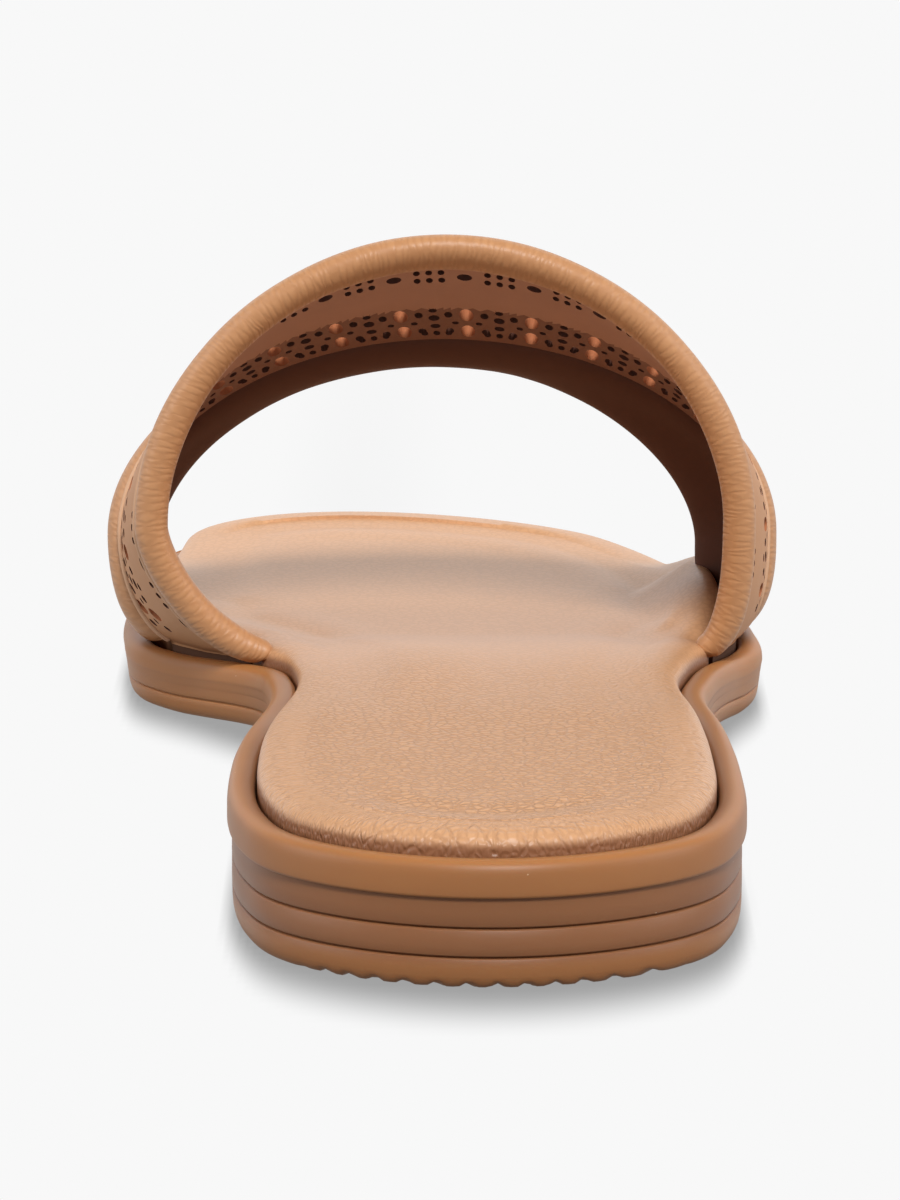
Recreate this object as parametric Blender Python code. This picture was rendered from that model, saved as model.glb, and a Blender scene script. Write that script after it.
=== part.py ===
"""Slide sandal for the right foot, built as it is made.

A moulded gum rubber sole with a raised rim holds a padded footbed.  The
upper is one wide strap: a perforated panel whose feet are tucked between
rim and footbed, with a padded edge along its rear and its front.

Metres, +Z up, +Y towards the toe, +X towards the outer side of the foot.
The model is worked out from the rear of the heel, on the ground, and is
then moved so that the origin lies under the middle of its bounding box.
"""

import math

import bmesh
import bpy
import numpy as np

MM = 0.001

# Driving sizes of the sole
SOLE_LENGTH = 252.0 * MM
HEEL_WIDTH = 64.7 * MM
WAIST_WIDTH = 60.6 * MM
BALL_WIDTH = 92.0 * MM
HEEL_HEIGHT = 15.9 * MM
BALL_HEIGHT = 8.2 * MM
TOE_SPRING = 2.6 * MM
ARCH_RISE = 2.2 * MM
RIM_WIDTH = 3.5 * MM
SIDE_RELIEF = 1.0 * MM
RECESS_CHAMFER = 0.5 * MM
SOLE_FLOOR = 4.2 * MM
FLOOR_SHARE = 0.45

# Driving sizes of the footbed
FOOTBED_RISE = 3.3 * MM
FOOTBED_DISH = 0.8 * MM
FOOTBED_ARCH = 1.2 * MM
ROLL_WIDTH = 5.0 * MM
FOOTBED_CHAMFER = 0.6 * MM

# Driving sizes of the strap
STRAP_REAR_HEIGHT = 70.8 * MM
STRAP_FRONT_HEIGHT = 47.8 * MM
STRAP_WALL = 2.0 * MM
STRAP_STEP = 0.5 * MM
TUCK_DEPTH = 2.6 * MM
FOOT_LIFT = 1.7 * MM
FOOT_BEND = 1.5 * MM
REAR_EDGE_THICKNESS = 4.6 * MM
FRONT_EDGE_THICKNESS = 5.8 * MM
EDGE_TAPER = 9.0 * MM
EDGE_TIP = 0.34
REAR_SEAM = 0.16
FRONT_SEAM = 0.76
FOOT_TURN = math.radians(82.0)

# Perforations of the strap
HOLE_DIAMETER = 2.6 * MM
HOLE_PITCH = 9.2 * MM
HOLE_MARGIN = 5.0 * MM

# Rows of holes, as shares of the panel's width
HOLE_ROWS = (0.64, 0.87)

# Clearance between pieces that touch
GAP = 0.3 * MM

# Mesh steps
OUTLINE_STEPS = 96
ACROSS_STEPS = 6
STRAP_STEPS = 44
EDGE_SIDES = 12
HOLE_SIDES = 8
SECTION_STEPS = 90
SEARCH_STEPS = 240
BEND_STEPS = 6
FOOT_CROWDING = 0.10

# Sole outline from heel to toe.  along: share of the length.  centre: shift
# to the outer side, as a share of the ball width.  heel, waist, ball: how
# much of each width the fullness takes; half width = fullness x sin(turn).
OUTLINE_COLUMNS = ("along", "centre", "heel", "waist", "ball")
OUTLINE = (
    (0.000, 0.008, 0.970, 0.000, 0.000),
    (0.042, 0.008, 0.930, 0.000, 0.000),
    (0.100, 0.006, 0.797, 0.000, 0.000),
    (0.179, 0.003, 0.659, 0.000, 0.000),
    (0.258, 0.003, 0.572, 0.000, 0.000),
    (0.357, 0.008, 0.200, 0.320, 0.000),
    (0.456, 0.010, 0.000, 0.493, 0.000),
    (0.500, 0.013, 0.000, 0.508, 0.000),
    (0.540, 0.012, 0.000, 0.460, 0.049),
    (0.595, -0.017, 0.000, 0.100, 0.355),
    (0.651, -0.048, 0.000, 0.000, 0.512),
    (0.714, -0.065, 0.000, 0.000, 0.553),
    (0.794, -0.080, 0.000, 0.000, 0.597),
    (0.853, -0.096, 0.000, 0.000, 0.641),
    (0.903, -0.124, 0.000, 0.000, 0.695),
    (0.948, -0.162, 0.000, 0.000, 0.775),
    (0.976, -0.190, 0.000, 0.000, 0.805),
    (1.000, -0.215, 0.000, 0.000, 0.815),
)

# Lift of the underside and height of the rim along the length.  arch and
# spring are shares of ARCH_RISE and TOE_SPRING; heel and ball say how much
# of each side height the rim has above that lift.
HEIGHT_COLUMNS = ("along", "arch", "spring", "heel", "ball")
HEIGHTS = (
    (0.00, 0.00, 0.00, 1.00, 0.00),
    (0.22, 0.00, 0.00, 1.00, 0.00),
    (0.30, 0.10, 0.00, 0.92, 0.06),
    (0.38, 0.55, 0.00, 0.70, 0.16),
    (0.46, 0.95, 0.00, 0.42, 0.44),
    (0.52, 1.00, 0.00, 0.24, 0.62),
    (0.57, 0.55, 0.00, 0.12, 0.82),
    (0.62, 0.00, 0.00, 0.03, 0.97),
    (0.68, 0.00, 0.00, 0.00, 1.00),
    (0.76, 0.00, 0.00, 0.00, 1.00),
    (0.84, 0.00, 0.18, 0.00, 0.96),
    (0.92, 0.00, 0.52, 0.00, 0.92),
    (1.00, 0.00, 1.00, 0.00, 0.88),
)

# Side of the sole from the underside up over the rim and down into the
# recess.  inset: from the widest line, as a share of SIDE_RELIEF; up: as a
# share of the side.
SIDE_COLUMNS = ("heel_inset", "heel_up", "fore_inset", "fore_up")
SIDE = (
    (1.90, 0.000, 2.20, 0.000),
    (1.15, 0.020, 1.20, 0.035),
    (0.70, 0.080, 0.70, 0.140),
    (0.60, 0.222, 0.50, 0.300),
    (1.10, 0.245, 0.85, 0.330),
    (0.60, 0.268, 0.45, 0.360),
    (0.60, 0.450, 0.30, 0.500),
    (1.10, 0.473, 0.25, 0.530),
    (0.60, 0.496, 0.20, 0.560),
    (0.70, 0.708, 0.10, 0.660),
    (0.12, 0.738, 0.00, 0.700),
    (0.00, 0.780, 0.00, 0.760),
    (0.00, 0.905, 0.10, 0.840),
    (0.45, 0.975, 0.55, 0.955),
    (1.40, 1.000, 1.50, 1.000),
    (2.80, 0.995, 2.80, 0.992),
)

# Where the heel's side turns into the forefoot's, as shares of the length
SIDE_CHANGE = (0.34, 0.58)

# Edge of the footbed.  inset: from the rim's inner wall, as a share of
# ROLL_WIDTH; up: as a share of the rise above the rim.
ROLL_OVER_COLUMNS = ("inset", "up")
ROLL_OVER = (
    (0.00, -0.15),
    (0.00, 0.25),
    (0.09, 0.58),
    (0.27, 0.83),
    (0.56, 0.97),
    (1.00, 1.00),
)

# Where the cup of the heel ends, and where the arch's swell starts and ends,
# each from and to, as shares of the length.
CUP_END = (0.24, 0.40)
ARCH_START = (0.30, 0.44)
ARCH_END = (0.48, 0.62)

# Where the footbed draws in before the strap's rear foot and behind its
# front foot: farthest and nearest place, as shares of the length.
NOTCH_START = (0.032, 0.004)
NOTCH_END = (0.008, 0.045)

# Sections of the strap from its rear edge to its front edge.  across: share
# of the strap's width.  foot_in, foot_out, top: where the inner foot, the
# outer foot and the crown lie, as shares of the sole's length.  reach_in,
# reach_out: widest places, as shares of the ball width.  wide_up: height of
# the widest place, as a share of the section's height.  height: 1 is the
# rear height and 0 the front height.  round: 2 is an ellipse.  full_in,
# full_out: how long each side stays full before it draws in to its foot.
STRAP_COLUMNS = ("across", "foot_in", "foot_out", "top", "reach_in",
                 "reach_out", "wide_up", "height", "round", "full_in",
                 "full_out")
STRAP = (
    (0.00, 0.565, 0.585, 0.541, -0.490, 0.388, 0.425, 1.000, 1.95, 0.75, 1.25),
    (0.16, 0.583, 0.603, 0.569, -0.514, 0.403, 0.430, 0.845, 1.96, 0.78, 1.25),
    (0.45, 0.613, 0.637, 0.622, -0.536, 0.427, 0.440, 0.540, 2.00, 0.85, 1.25),
    (0.76, 0.647, 0.675, 0.682, -0.550, 0.438, 0.460, 0.215, 1.97, 0.95, 1.25),
    (0.88, 0.666, 0.703, 0.703, -0.552, 0.431, 0.460, 0.100, 1.95, 1.00, 1.25),
    (1.00, 0.690, 0.735, 0.724, -0.515, 0.344, 0.420, 0.000, 1.80, 1.10, 1.25),
)

# Wall of the strap panel across its width: share of the width and the
# share of STRAP_STEP by which the outer face stands proud there.
WALL_COLUMNS = ("across", "proud")
WALL = (
    (0.000, 0.0),
    (0.020, 0.2),
    (0.030, 1.0),
    (0.055, 1.0),
    (0.065, 0.0),
    (0.220, 0.0),
    (0.380, 0.0),
    (0.540, 0.0),
    (0.700, 0.0),
    (0.850, 0.0),
    (0.935, 0.0),
    (0.945, 1.0),
    (0.970, 1.0),
    (0.980, 0.2),
    (1.000, 0.0),
)

# Where the panel's steps fade in above its feet, as shares of its length
STEP_FADE = (0.02, 0.05)


def column(rows, columns, name):
    """One named column of a table as an array."""
    return np.array([row[columns.index(name)] for row in rows])


def smooth(stations, values, at):
    """Cubic curve through a table's values, with slopes from its neighbours."""
    slopes = np.gradient(values, stations)
    at = np.clip(at, stations[0], stations[-1])
    i = np.clip(np.searchsorted(stations, at) - 1, 0, len(stations) - 2)
    step = stations[i + 1] - stations[i]
    s = (at - stations[i]) / step
    return (values[i] * (2 * s**3 - 3 * s**2 + 1)
            + values[i + 1] * (3 * s**2 - 2 * s**3)
            + slopes[i] * step * (s**3 - 2 * s**2 + s)
            + slopes[i + 1] * step * (s**3 - s**2))


def ease(low, high, at):
    """0 below low, 1 above high, and a soft change between."""
    s = np.clip((at - low) / (high - low), 0.0, 1.0)
    return s * s * (3 - 2 * s)


def outline_value(name, along):
    """A column of the outline table at a share of the length."""
    return smooth(column(OUTLINE, OUTLINE_COLUMNS, "along"),
                  column(OUTLINE, OUTLINE_COLUMNS, name), along)


def height_value(name, along):
    """A column of the height table at a share of the length."""
    return smooth(column(HEIGHTS, HEIGHT_COLUMNS, "along"),
                  column(HEIGHTS, HEIGHT_COLUMNS, name), along)


def outline_along(turn):
    """Share of the length at a turn: 0 at the heel, pi at the toe."""
    return (1 - np.cos(turn)) / 2


def outline_point(turn):
    """Widest line of the sole: inner side from 0 to pi, outer side beyond."""
    along = outline_along(turn)
    fullness = (HEEL_WIDTH * outline_value("heel", along)
                + WAIST_WIDTH * outline_value("waist", along)
                + BALL_WIDTH * outline_value("ball", along))
    centre = BALL_WIDTH * outline_value("centre", along)
    return np.stack([centre - fullness * np.sin(turn),
                     SOLE_LENGTH * along], axis=-1)


def inset_outline(turn, inset):
    """The outline moved inwards by inset."""
    reach = 0.01
    ahead = outline_point(turn + reach) - outline_point(turn - reach)
    ahead /= np.linalg.norm(ahead, axis=-1, keepdims=True)
    inwards = np.stack([ahead[..., 1], -ahead[..., 0]], axis=-1)
    return outline_point(turn) + inwards * np.asarray(inset)[..., None]


def outline_x(y, side, inset):
    """Where the inset outline lies across at y; side is -1 inner, 1 outer."""
    clear = 0.05
    turns = np.linspace(clear, math.pi - clear, SEARCH_STEPS)
    line = inset_outline(-side * turns, np.full(turns.shape, inset))
    return np.interp(y, line[:, 1], line[:, 0])


def ground_lift(along):
    """Height of the underside above the ground."""
    return np.maximum(0.0, ARCH_RISE * height_value("arch", along)
                      + TOE_SPRING * height_value("spring", along))


def side_height(along):
    """Height of the sole's side, from its underside to its rim."""
    return (HEEL_HEIGHT * height_value("heel", along)
            + BALL_HEIGHT * height_value("ball", along))


def rim_height(along):
    """Height of the rim above the ground."""
    return ground_lift(along) + side_height(along)


def floor_height(along):
    """Height of the recess that the footbed lies in."""
    return ground_lift(along) + SOLE_FLOOR + FLOOR_SHARE * (
        side_height(along) - BALL_HEIGHT)


def ring_at(turns, inset, height):
    """A closed ring of points at an inset and a height."""
    flat = inset_outline(turns, np.broadcast_to(inset, turns.shape))
    return np.column_stack([flat, np.broadcast_to(height, turns.shape)])


def cross_rows(ring, steps, height_of):
    """Rows of points across a ring, from its inner to its outer side."""
    half = len(ring) // 2
    rows = []
    for i in range(1, half):
        inner, outer = ring[i], ring[len(ring) - i]
        for k in range(1, steps):
            share = k / steps
            point = inner * (1 - share) + outer * share
            point[2] += height_of(i / half, 2 * share - 1)
            rows.append(point)
    return rows


def ladder_faces(ring_start, count, row_start, steps):
    """Faces that close a ring, through rows of points across it."""
    half = count // 2

    def vertex(i, k):
        if k == 0:
            return ring_start + i
        if k == steps:
            return ring_start + (count - i) % count
        return row_start + (i - 1) * (steps - 1) + k - 1

    faces = []
    for i in range(1, half - 1):
        for k in range(steps):
            faces.append((vertex(i, k), vertex(i + 1, k),
                          vertex(i + 1, k + 1), vertex(i, k + 1)))
    for k in range(steps):
        faces.append((ring_start, vertex(1, k), vertex(1, k + 1)))
        faces.append((ring_start + half, vertex(half - 1, k + 1),
                      vertex(half - 1, k)))
    return faces


def ringed_solid(rings, bottom_steps, bottom_of, top_steps, top_of):
    """Points and faces of a solid from stacked rings, closed at both ends."""
    count = len(rings[0])
    points = [point for ring in rings for point in ring]
    faces = []
    for level in range(len(rings) - 1):
        for i in range(count):
            j = (i + 1) % count
            faces.append((level * count + i, level * count + j,
                          (level + 1) * count + j, (level + 1) * count + i))
    for start, steps, height_of in (
            (0, bottom_steps, bottom_of),
            ((len(rings) - 1) * count, top_steps, top_of)):
        row_start = len(points)
        points += cross_rows(np.array(points[start:start + count]),
                             steps, height_of)
        faces += ladder_faces(start, count, row_start, steps)
    return points, faces


def flat(along, across):
    """No rise across a closing face."""
    return 0.0


def material(name, colour, roughness):
    """A Principled material with a plain colour."""
    made = bpy.data.materials.new(name)
    made.use_nodes = True
    shader = made.node_tree.nodes["Principled BSDF"]
    shader.inputs["Base Color"].default_value = (*colour, 1.0)
    shader.inputs["Roughness"].default_value = roughness
    shader.inputs["Metallic"].default_value = 0.0
    return made


def add_piece(name, points, faces, made, sharp=50.0):
    """A named object from points and faces, facing outwards, shaded smooth."""
    mesh = bpy.data.meshes.new(name)
    mesh.from_pydata([tuple(float(v) for v in point) for point in points],
                     [], faces)
    work = bmesh.new()
    work.from_mesh(mesh)
    bmesh.ops.recalc_face_normals(work, faces=work.faces)
    work.to_mesh(mesh)
    work.free()
    mesh.shade_smooth()
    mesh.set_sharp_from_angle(angle=math.radians(sharp))
    mesh.materials.append(made)
    piece = bpy.data.objects.new(name, mesh)
    bpy.context.collection.objects.link(piece)
    return piece


def sole_rings(turns):
    """Rings of the sole, from the underside over the rim to the recess."""
    along = outline_along(turns)
    change = ease(*SIDE_CHANGE, along)
    rings = []
    for row in SIDE:
        at = dict(zip(SIDE_COLUMNS, row))
        inset = SIDE_RELIEF * (at["heel_inset"] * (1 - change)
                               + at["fore_inset"] * change)
        up = at["heel_up"] * (1 - change) + at["fore_up"] * change
        rings.append(ring_at(turns, inset,
                             ground_lift(along) + up * side_height(along)))
    rim = rim_height(along)
    floor = floor_height(along)
    rings.append(ring_at(turns, RIM_WIDTH, rim - RECESS_CHAMFER))
    rings.append(ring_at(turns, RIM_WIDTH, floor))
    return rings


def build_sole():
    """Moulded sole with rim, side grooves, raised waist and toe spring."""
    turns = np.arange(OUTLINE_STEPS) * 2 * math.pi / OUTLINE_STEPS
    points, faces = ringed_solid(sole_rings(turns), 1, flat, 1, flat)
    add_piece("sole", points, faces,
              material("Gum rubber", (0.36, 0.17, 0.07), 0.45))


def strap_notch(along):
    """How far the strap's feet push the footbed in, as a share."""
    rear, front = strap_value("foot_in", 0), strap_value("foot_out", 1)
    far, near = NOTCH_START
    first, last = NOTCH_END
    return (ease(rear - far, rear - near, along)
            * (1 - ease(front + first, front + last, along)))


def footbed_inset(along):
    """Inset of the footbed's side from the widest line of the sole."""
    return RIM_WIDTH + GAP + (STRAP_WALL + GAP) * strap_notch(along)


def footbed_rise(along, across):
    """Rise of the footbed's top across the foot: heel cup and arch."""
    hollow = (1 - ease(*CUP_END, along)) * (1 - across**2)
    inner = np.clip(-across, 0, 1)
    arch = (ease(*ARCH_START, along) * (1 - ease(*ARCH_END, along))
            * inner * (1 - inner) * 4)
    return FOOTBED_ARCH * arch - FOOTBED_DISH * hollow


def build_footbed():
    """Padded footbed with a rolled edge that stands above the rim."""
    turns = np.arange(OUTLINE_STEPS) * 2 * math.pi / OUTLINE_STEPS
    along = outline_along(turns)
    side = footbed_inset(along)
    base = floor_height(along) + GAP
    rings = [ring_at(turns, side + FOOTBED_CHAMFER, base),
             ring_at(turns, side, base + FOOTBED_CHAMFER)]
    for row in ROLL_OVER:
        at = dict(zip(ROLL_OVER_COLUMNS, row))
        rings.append(ring_at(turns, side + at["inset"] * ROLL_WIDTH,
                             rim_height(along) + at["up"] * FOOTBED_RISE))
    points, faces = ringed_solid(rings, 1, flat, ACROSS_STEPS, footbed_rise)
    add_piece("footbed", points, faces,
              material("Footbed leather", (0.50, 0.27, 0.14), 0.5))


def strap_value(name, across):
    """A column of the strap table, from 0 at the rear edge to 1 in front."""
    return float(smooth(column(STRAP, STRAP_COLUMNS, "across"),
                        column(STRAP, STRAP_COLUMNS, name),
                        np.array(across)))


def strap_foot(across, side):
    """Where the strap's wall meets the rim: a point above the slot."""
    name = "foot_in" if side < 0 else "foot_out"
    y = SOLE_LENGTH * strap_value(name, across)
    x = outline_x(y, side, RIM_WIDTH + GAP + STRAP_WALL / 2)
    z = float(rim_height(np.array(y / SOLE_LENGTH))) + FOOT_LIFT
    return np.array([x, y, z])


def foot_bend(foot, before):
    """Points that turn the wall from its slope straight down into the slot."""
    away = (before - foot) / np.linalg.norm(before - foot)
    start = foot + away * FOOT_BEND
    end = foot - np.array([0.0, 0.0, FOOT_BEND])
    bottom = foot - np.array([0.0, 0.0, TUCK_DEPTH + FOOT_LIFT])
    shares = np.linspace(0.0, 1.0, BEND_STEPS)[:, None]
    bend = ((1 - shares)**2 * start + 2 * shares * (1 - shares) * foot
            + shares**2 * end)
    return np.vstack([bend, bottom])


def strap_section(across):
    """Middle line of the strap's wall, from inner foot to outer foot."""
    inner, outer = strap_foot(across, -1), strap_foot(across, 1)
    height = (STRAP_FRONT_HEIGHT
              + (STRAP_REAR_HEIGHT - STRAP_FRONT_HEIGHT)
              * strap_value("height", across))
    wide = height * strap_value("wide_up", across)
    reach_in = BALL_WIDTH * strap_value("reach_in", across)
    reach_out = BALL_WIDTH * strap_value("reach_out", across)
    top = SOLE_LENGTH * strap_value("top", across)
    middle, half = (reach_in + reach_out) / 2, (reach_out - reach_in) / 2
    turn = np.linspace(0.0, math.pi, SECTION_STEPS)
    power = 2 / strap_value("round", across)
    swing = np.sin(turn)
    upper = np.column_stack([
        middle - half * np.sign(np.cos(turn)) * np.abs(np.cos(turn))**power,
        np.zeros_like(turn),
        wide + (height - wide) * swing**power])
    bend = np.linspace(FOOT_TURN, 0.0, SECTION_STEPS // 4)[:-1]
    lower = []
    for foot, reach, full in ((inner, reach_in, "full_in"),
                              (outer, reach_out, "full_out")):
        share = ((1 - np.cos(bend)) / (1 - math.cos(FOOT_TURN)))**(
            strap_value(full, across))
        drop = np.sin(bend) / math.sin(FOOT_TURN)
        lower.append(np.column_stack([
            reach + (foot[0] - reach) * share, np.zeros_like(bend),
            wide + (foot[2] - wide) * drop]))
    line = np.vstack([lower[0], upper, lower[1][::-1]])
    run = np.linspace(0.0, 1.0, len(line))
    feet_y = inner[1] + (outer[1] - inner[1]) * run
    lean = (line[:, 2] - inner[2]) / (height - inner[2])
    line[:, 1] = feet_y + (top - feet_y) * np.clip(lean, 0.0, 1.0)
    clear = np.minimum(np.linalg.norm(line - inner, axis=1),
                       np.linalg.norm(line - outer, axis=1)) > FOOT_BEND
    line = line[clear]
    return np.vstack([foot_bend(inner, line[0])[::-1], line,
                      foot_bend(outer, line[-1])])


def strap_line(across, shares):
    """Points on the strap's middle line at shares of its arc length."""
    section = strap_section(across)
    steps = np.linalg.norm(np.diff(section, axis=0), axis=1)
    run = np.concatenate([[0.0], np.cumsum(steps)])
    return np.column_stack([np.interp(shares * run[-1], run, section[:, k])
                            for k in range(3)])


def strap_length(across):
    """Arc length of the strap's middle line."""
    section = strap_section(across)
    return float(np.linalg.norm(np.diff(section, axis=0), axis=1).sum())


def strap_frame(across, shares):
    """Points of the strap, its outward normals and its forward direction."""
    reach = 0.02
    step = 0.004
    low, high = max(0.0, across - reach), min(1.0, across + reach)
    forward = strap_line(high, shares) - strap_line(low, shares)
    forward /= np.linalg.norm(forward, axis=1, keepdims=True)
    ahead = (strap_line(across, np.minimum(1.0, shares + step))
             - strap_line(across, np.maximum(0.0, shares - step)))
    ahead /= np.linalg.norm(ahead, axis=1, keepdims=True)
    normal = np.cross(ahead, forward)
    normal /= np.linalg.norm(normal, axis=1, keepdims=True)
    return strap_line(across, shares), normal, forward


def foot_shares():
    """Shares of arc length from foot to foot, closer together at the feet."""
    even = np.linspace(0.0, 1.0, STRAP_STEPS + 1)
    return even - FOOT_CROWDING * np.sin(2 * math.pi * even) / math.pi


def build_panel():
    """Strap panel: one hollow arched wall, tucked in at both feet."""
    shares = foot_shares()
    outer_rows, inner_rows = [], []
    fade = ease(*STEP_FADE, shares) * ease(*STEP_FADE, 1 - shares)
    for row in WALL:
        at = dict(zip(WALL_COLUMNS, row))
        across = REAR_SEAM + (FRONT_SEAM - REAR_SEAM) * at["across"]
        line, normal, _ = strap_frame(across, shares)
        lift = STRAP_WALL / 2 + STRAP_STEP * at["proud"] * fade
        outer_rows.append(line + normal * lift[:, None])
        inner_rows.append(line - normal * STRAP_WALL / 2)
    sheet = np.array(outer_rows + inner_rows[::-1])
    rows, count = len(sheet), len(shares)
    points = sheet.reshape(-1, 3)
    faces = []
    for i in range(rows):
        for k in range(count - 1):
            j = (i + 1) % rows
            faces.append((i * count + k, i * count + k + 1,
                          j * count + k + 1, j * count + k))
    for k in (0, count - 1):
        for i in range(rows // 2 - 1):
            a, b = i, i + 1
            c, d = rows - 2 - i, rows - 1 - i
            faces.append((a * count + k, b * count + k,
                          c * count + k, d * count + k))
    panel = add_piece("strap_panel", points, faces,
                      material("Perforated leather", (0.55, 0.35, 0.24), 0.6))
    cut = panel.modifiers.new("Holes", "BOOLEAN")
    cut.operation = "DIFFERENCE"
    cut.solver = "EXACT"
    cut.object = build_hole_cutter()


def build_hole_cutter():
    """Round pins across the panel's wall, one for each large hole."""
    points, faces = [], []
    turns = (np.arange(HOLE_SIDES) + 0.5) * 2 * math.pi / HOLE_SIDES
    rows = [REAR_SEAM + (FRONT_SEAM - REAR_SEAM) * row for row in HOLE_ROWS]
    length = min(strap_length(across) for across in rows)
    room = length - 2 * (TUCK_DEPTH + FOOT_LIFT + HOLE_MARGIN)
    count = int(room / HOLE_PITCH)
    shares = 0.5 + (np.arange(count + 1) - count / 2) * HOLE_PITCH / length
    for across in rows:
        line, normal, forward = strap_frame(across, shares)
        for middle, up, ahead in zip(line, normal, forward):
            start = len(points)
            aside = np.cross(up, ahead)
            for end in (-STRAP_WALL, STRAP_WALL):
                for turn in turns:
                    points.append(middle + up * end
                                  + (ahead * math.cos(turn)
                                     + aside * math.sin(turn))
                                  * HOLE_DIAMETER / 2)
            low = [start + i for i in range(HOLE_SIDES)]
            high = [i + HOLE_SIDES for i in low]
            faces += [tuple(low), tuple(high)]
            faces += [(low[i], low[i - 1], high[i - 1], high[i])
                      for i in range(HOLE_SIDES)]
    cutter = add_piece("hole_cutter", points, faces,
                       material("Cutter", (0.5, 0.5, 0.5), 0.5))
    cutter.hide_render = True
    cutter.display_type = "WIRE"
    return cutter


def build_edge(name, free, seam, thickness):
    """Padded edge of the strap: an oval roll that tapers to its feet."""
    length = strap_length(seam)
    start = (TUCK_DEPTH + FOOT_LIFT + FOOT_BEND) / length
    shares = start + (1 - 2 * start) * foot_shares()
    reach = strap_line(free, shares) - strap_line(seam, shares)
    clear = reach / np.linalg.norm(reach, axis=1, keepdims=True) * GAP
    run = np.minimum(shares - start, 1 - start - shares) * length
    size = EDGE_TIP + (1 - EDGE_TIP) * np.sin(
        np.clip(run / EDGE_TAPER, 0.0, 1.0) * math.pi / 2)
    rows = []
    for turn in np.arange(EDGE_SIDES) * 2 * math.pi / EDGE_SIDES:
        far = (1 + math.cos(turn)) / 2
        line, normal, _ = strap_frame(seam + (free - seam) * far, shares)
        rise = math.sin(turn) * thickness / 2 * size
        rows.append(line + clear * (1 - far) + normal * rise[:, None])
    points = np.array(rows).transpose(1, 0, 2).reshape(-1, 3)
    faces = []
    rings = len(shares)
    for k in range(rings - 1):
        for i in range(EDGE_SIDES):
            j = (i + 1) % EDGE_SIDES
            faces.append((k * EDGE_SIDES + i, k * EDGE_SIDES + j,
                          (k + 1) * EDGE_SIDES + j, (k + 1) * EDGE_SIDES + i))
    faces.append(tuple(range(EDGE_SIDES)))
    faces.append(tuple(range((rings - 1) * EDGE_SIDES, rings * EDGE_SIDES)))
    add_piece(name, points, faces,
              material("Padded leather edge", (0.47, 0.26, 0.13), 0.5))


def centre_origin():
    """Move every piece so that the origin is under the middle of the whole."""
    pieces = list(bpy.data.objects)
    corners = np.array([vertex.co for piece in pieces if not piece.hide_render
                        for vertex in piece.data.vertices])
    low, high = corners.min(axis=0), corners.max(axis=0)
    for piece in pieces:
        for vertex in piece.data.vertices:
            vertex.co.x -= (low[0] + high[0]) / 2
            vertex.co.y -= (low[1] + high[1]) / 2
            vertex.co.z -= low[2]
        piece.data.update()


def main():
    for item in list(bpy.data.objects):
        bpy.data.objects.remove(item)
    build_sole()
    build_footbed()
    build_panel()
    build_edge("strap_rear_edge", 0.0, REAR_SEAM, REAR_EDGE_THICKNESS)
    build_edge("strap_front_edge", 1.0, FRONT_SEAM, FRONT_EDGE_THICKNESS)
    centre_origin()


main()
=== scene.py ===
"""Looks of a slide sandal for the right foot.

A caramel gum rubber sole, a padded footbed in milled leather and one wide
strap: a perforated nubuck panel between two padded leather rolls.

Metres, +Z up, +Y towards the toe, +X towards the outer side of the foot.
"""

import math

import bmesh
import bpy
import numpy as np
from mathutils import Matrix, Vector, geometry


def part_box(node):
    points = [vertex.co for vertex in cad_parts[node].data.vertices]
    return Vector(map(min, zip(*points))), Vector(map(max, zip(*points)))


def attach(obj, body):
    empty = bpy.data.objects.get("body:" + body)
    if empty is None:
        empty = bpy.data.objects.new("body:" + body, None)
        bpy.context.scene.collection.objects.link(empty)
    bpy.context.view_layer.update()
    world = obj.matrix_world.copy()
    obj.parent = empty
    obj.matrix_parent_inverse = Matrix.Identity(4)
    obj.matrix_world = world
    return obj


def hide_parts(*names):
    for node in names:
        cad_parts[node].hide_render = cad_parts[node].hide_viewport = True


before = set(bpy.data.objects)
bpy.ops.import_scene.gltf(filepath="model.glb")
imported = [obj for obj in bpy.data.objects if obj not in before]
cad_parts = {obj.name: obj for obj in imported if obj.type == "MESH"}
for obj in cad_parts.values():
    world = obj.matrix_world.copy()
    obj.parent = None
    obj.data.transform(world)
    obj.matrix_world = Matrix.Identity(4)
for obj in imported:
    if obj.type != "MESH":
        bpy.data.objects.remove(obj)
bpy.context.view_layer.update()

bl_info = {
    "name": "Slide sandal",
    "version": (1, 0, 0),
    "blender": (4, 5, 0),
    "location": "View3D > Sidebar > Slide sandal",
    "description": "Builds the finished surfaces of a slide sandal",
    "category": "Add Mesh",
}

MM = 0.001
BODY = "root"

# Sizes of the last, the sole and the footbed
SOLE_LENGTH = 252.0 * MM
HEEL_WIDTH = 64.7 * MM
WAIST_WIDTH = 60.6 * MM
BALL_WIDTH = 92.0 * MM
HEEL_HEIGHT = 15.9 * MM
BALL_HEIGHT = 8.2 * MM
TOE_SPRING = 2.6 * MM
ARCH_RISE = 2.2 * MM
RIM_WIDTH = 3.5 * MM
SOLE_FLOOR = 4.2 * MM
FLOOR_SHARE = 0.45
FOOTBED_RISE = 3.3 * MM
FOOTBED_DISH = 0.8 * MM
FOOTBED_ARCH = 1.2 * MM
GAP = 0.3 * MM

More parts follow.
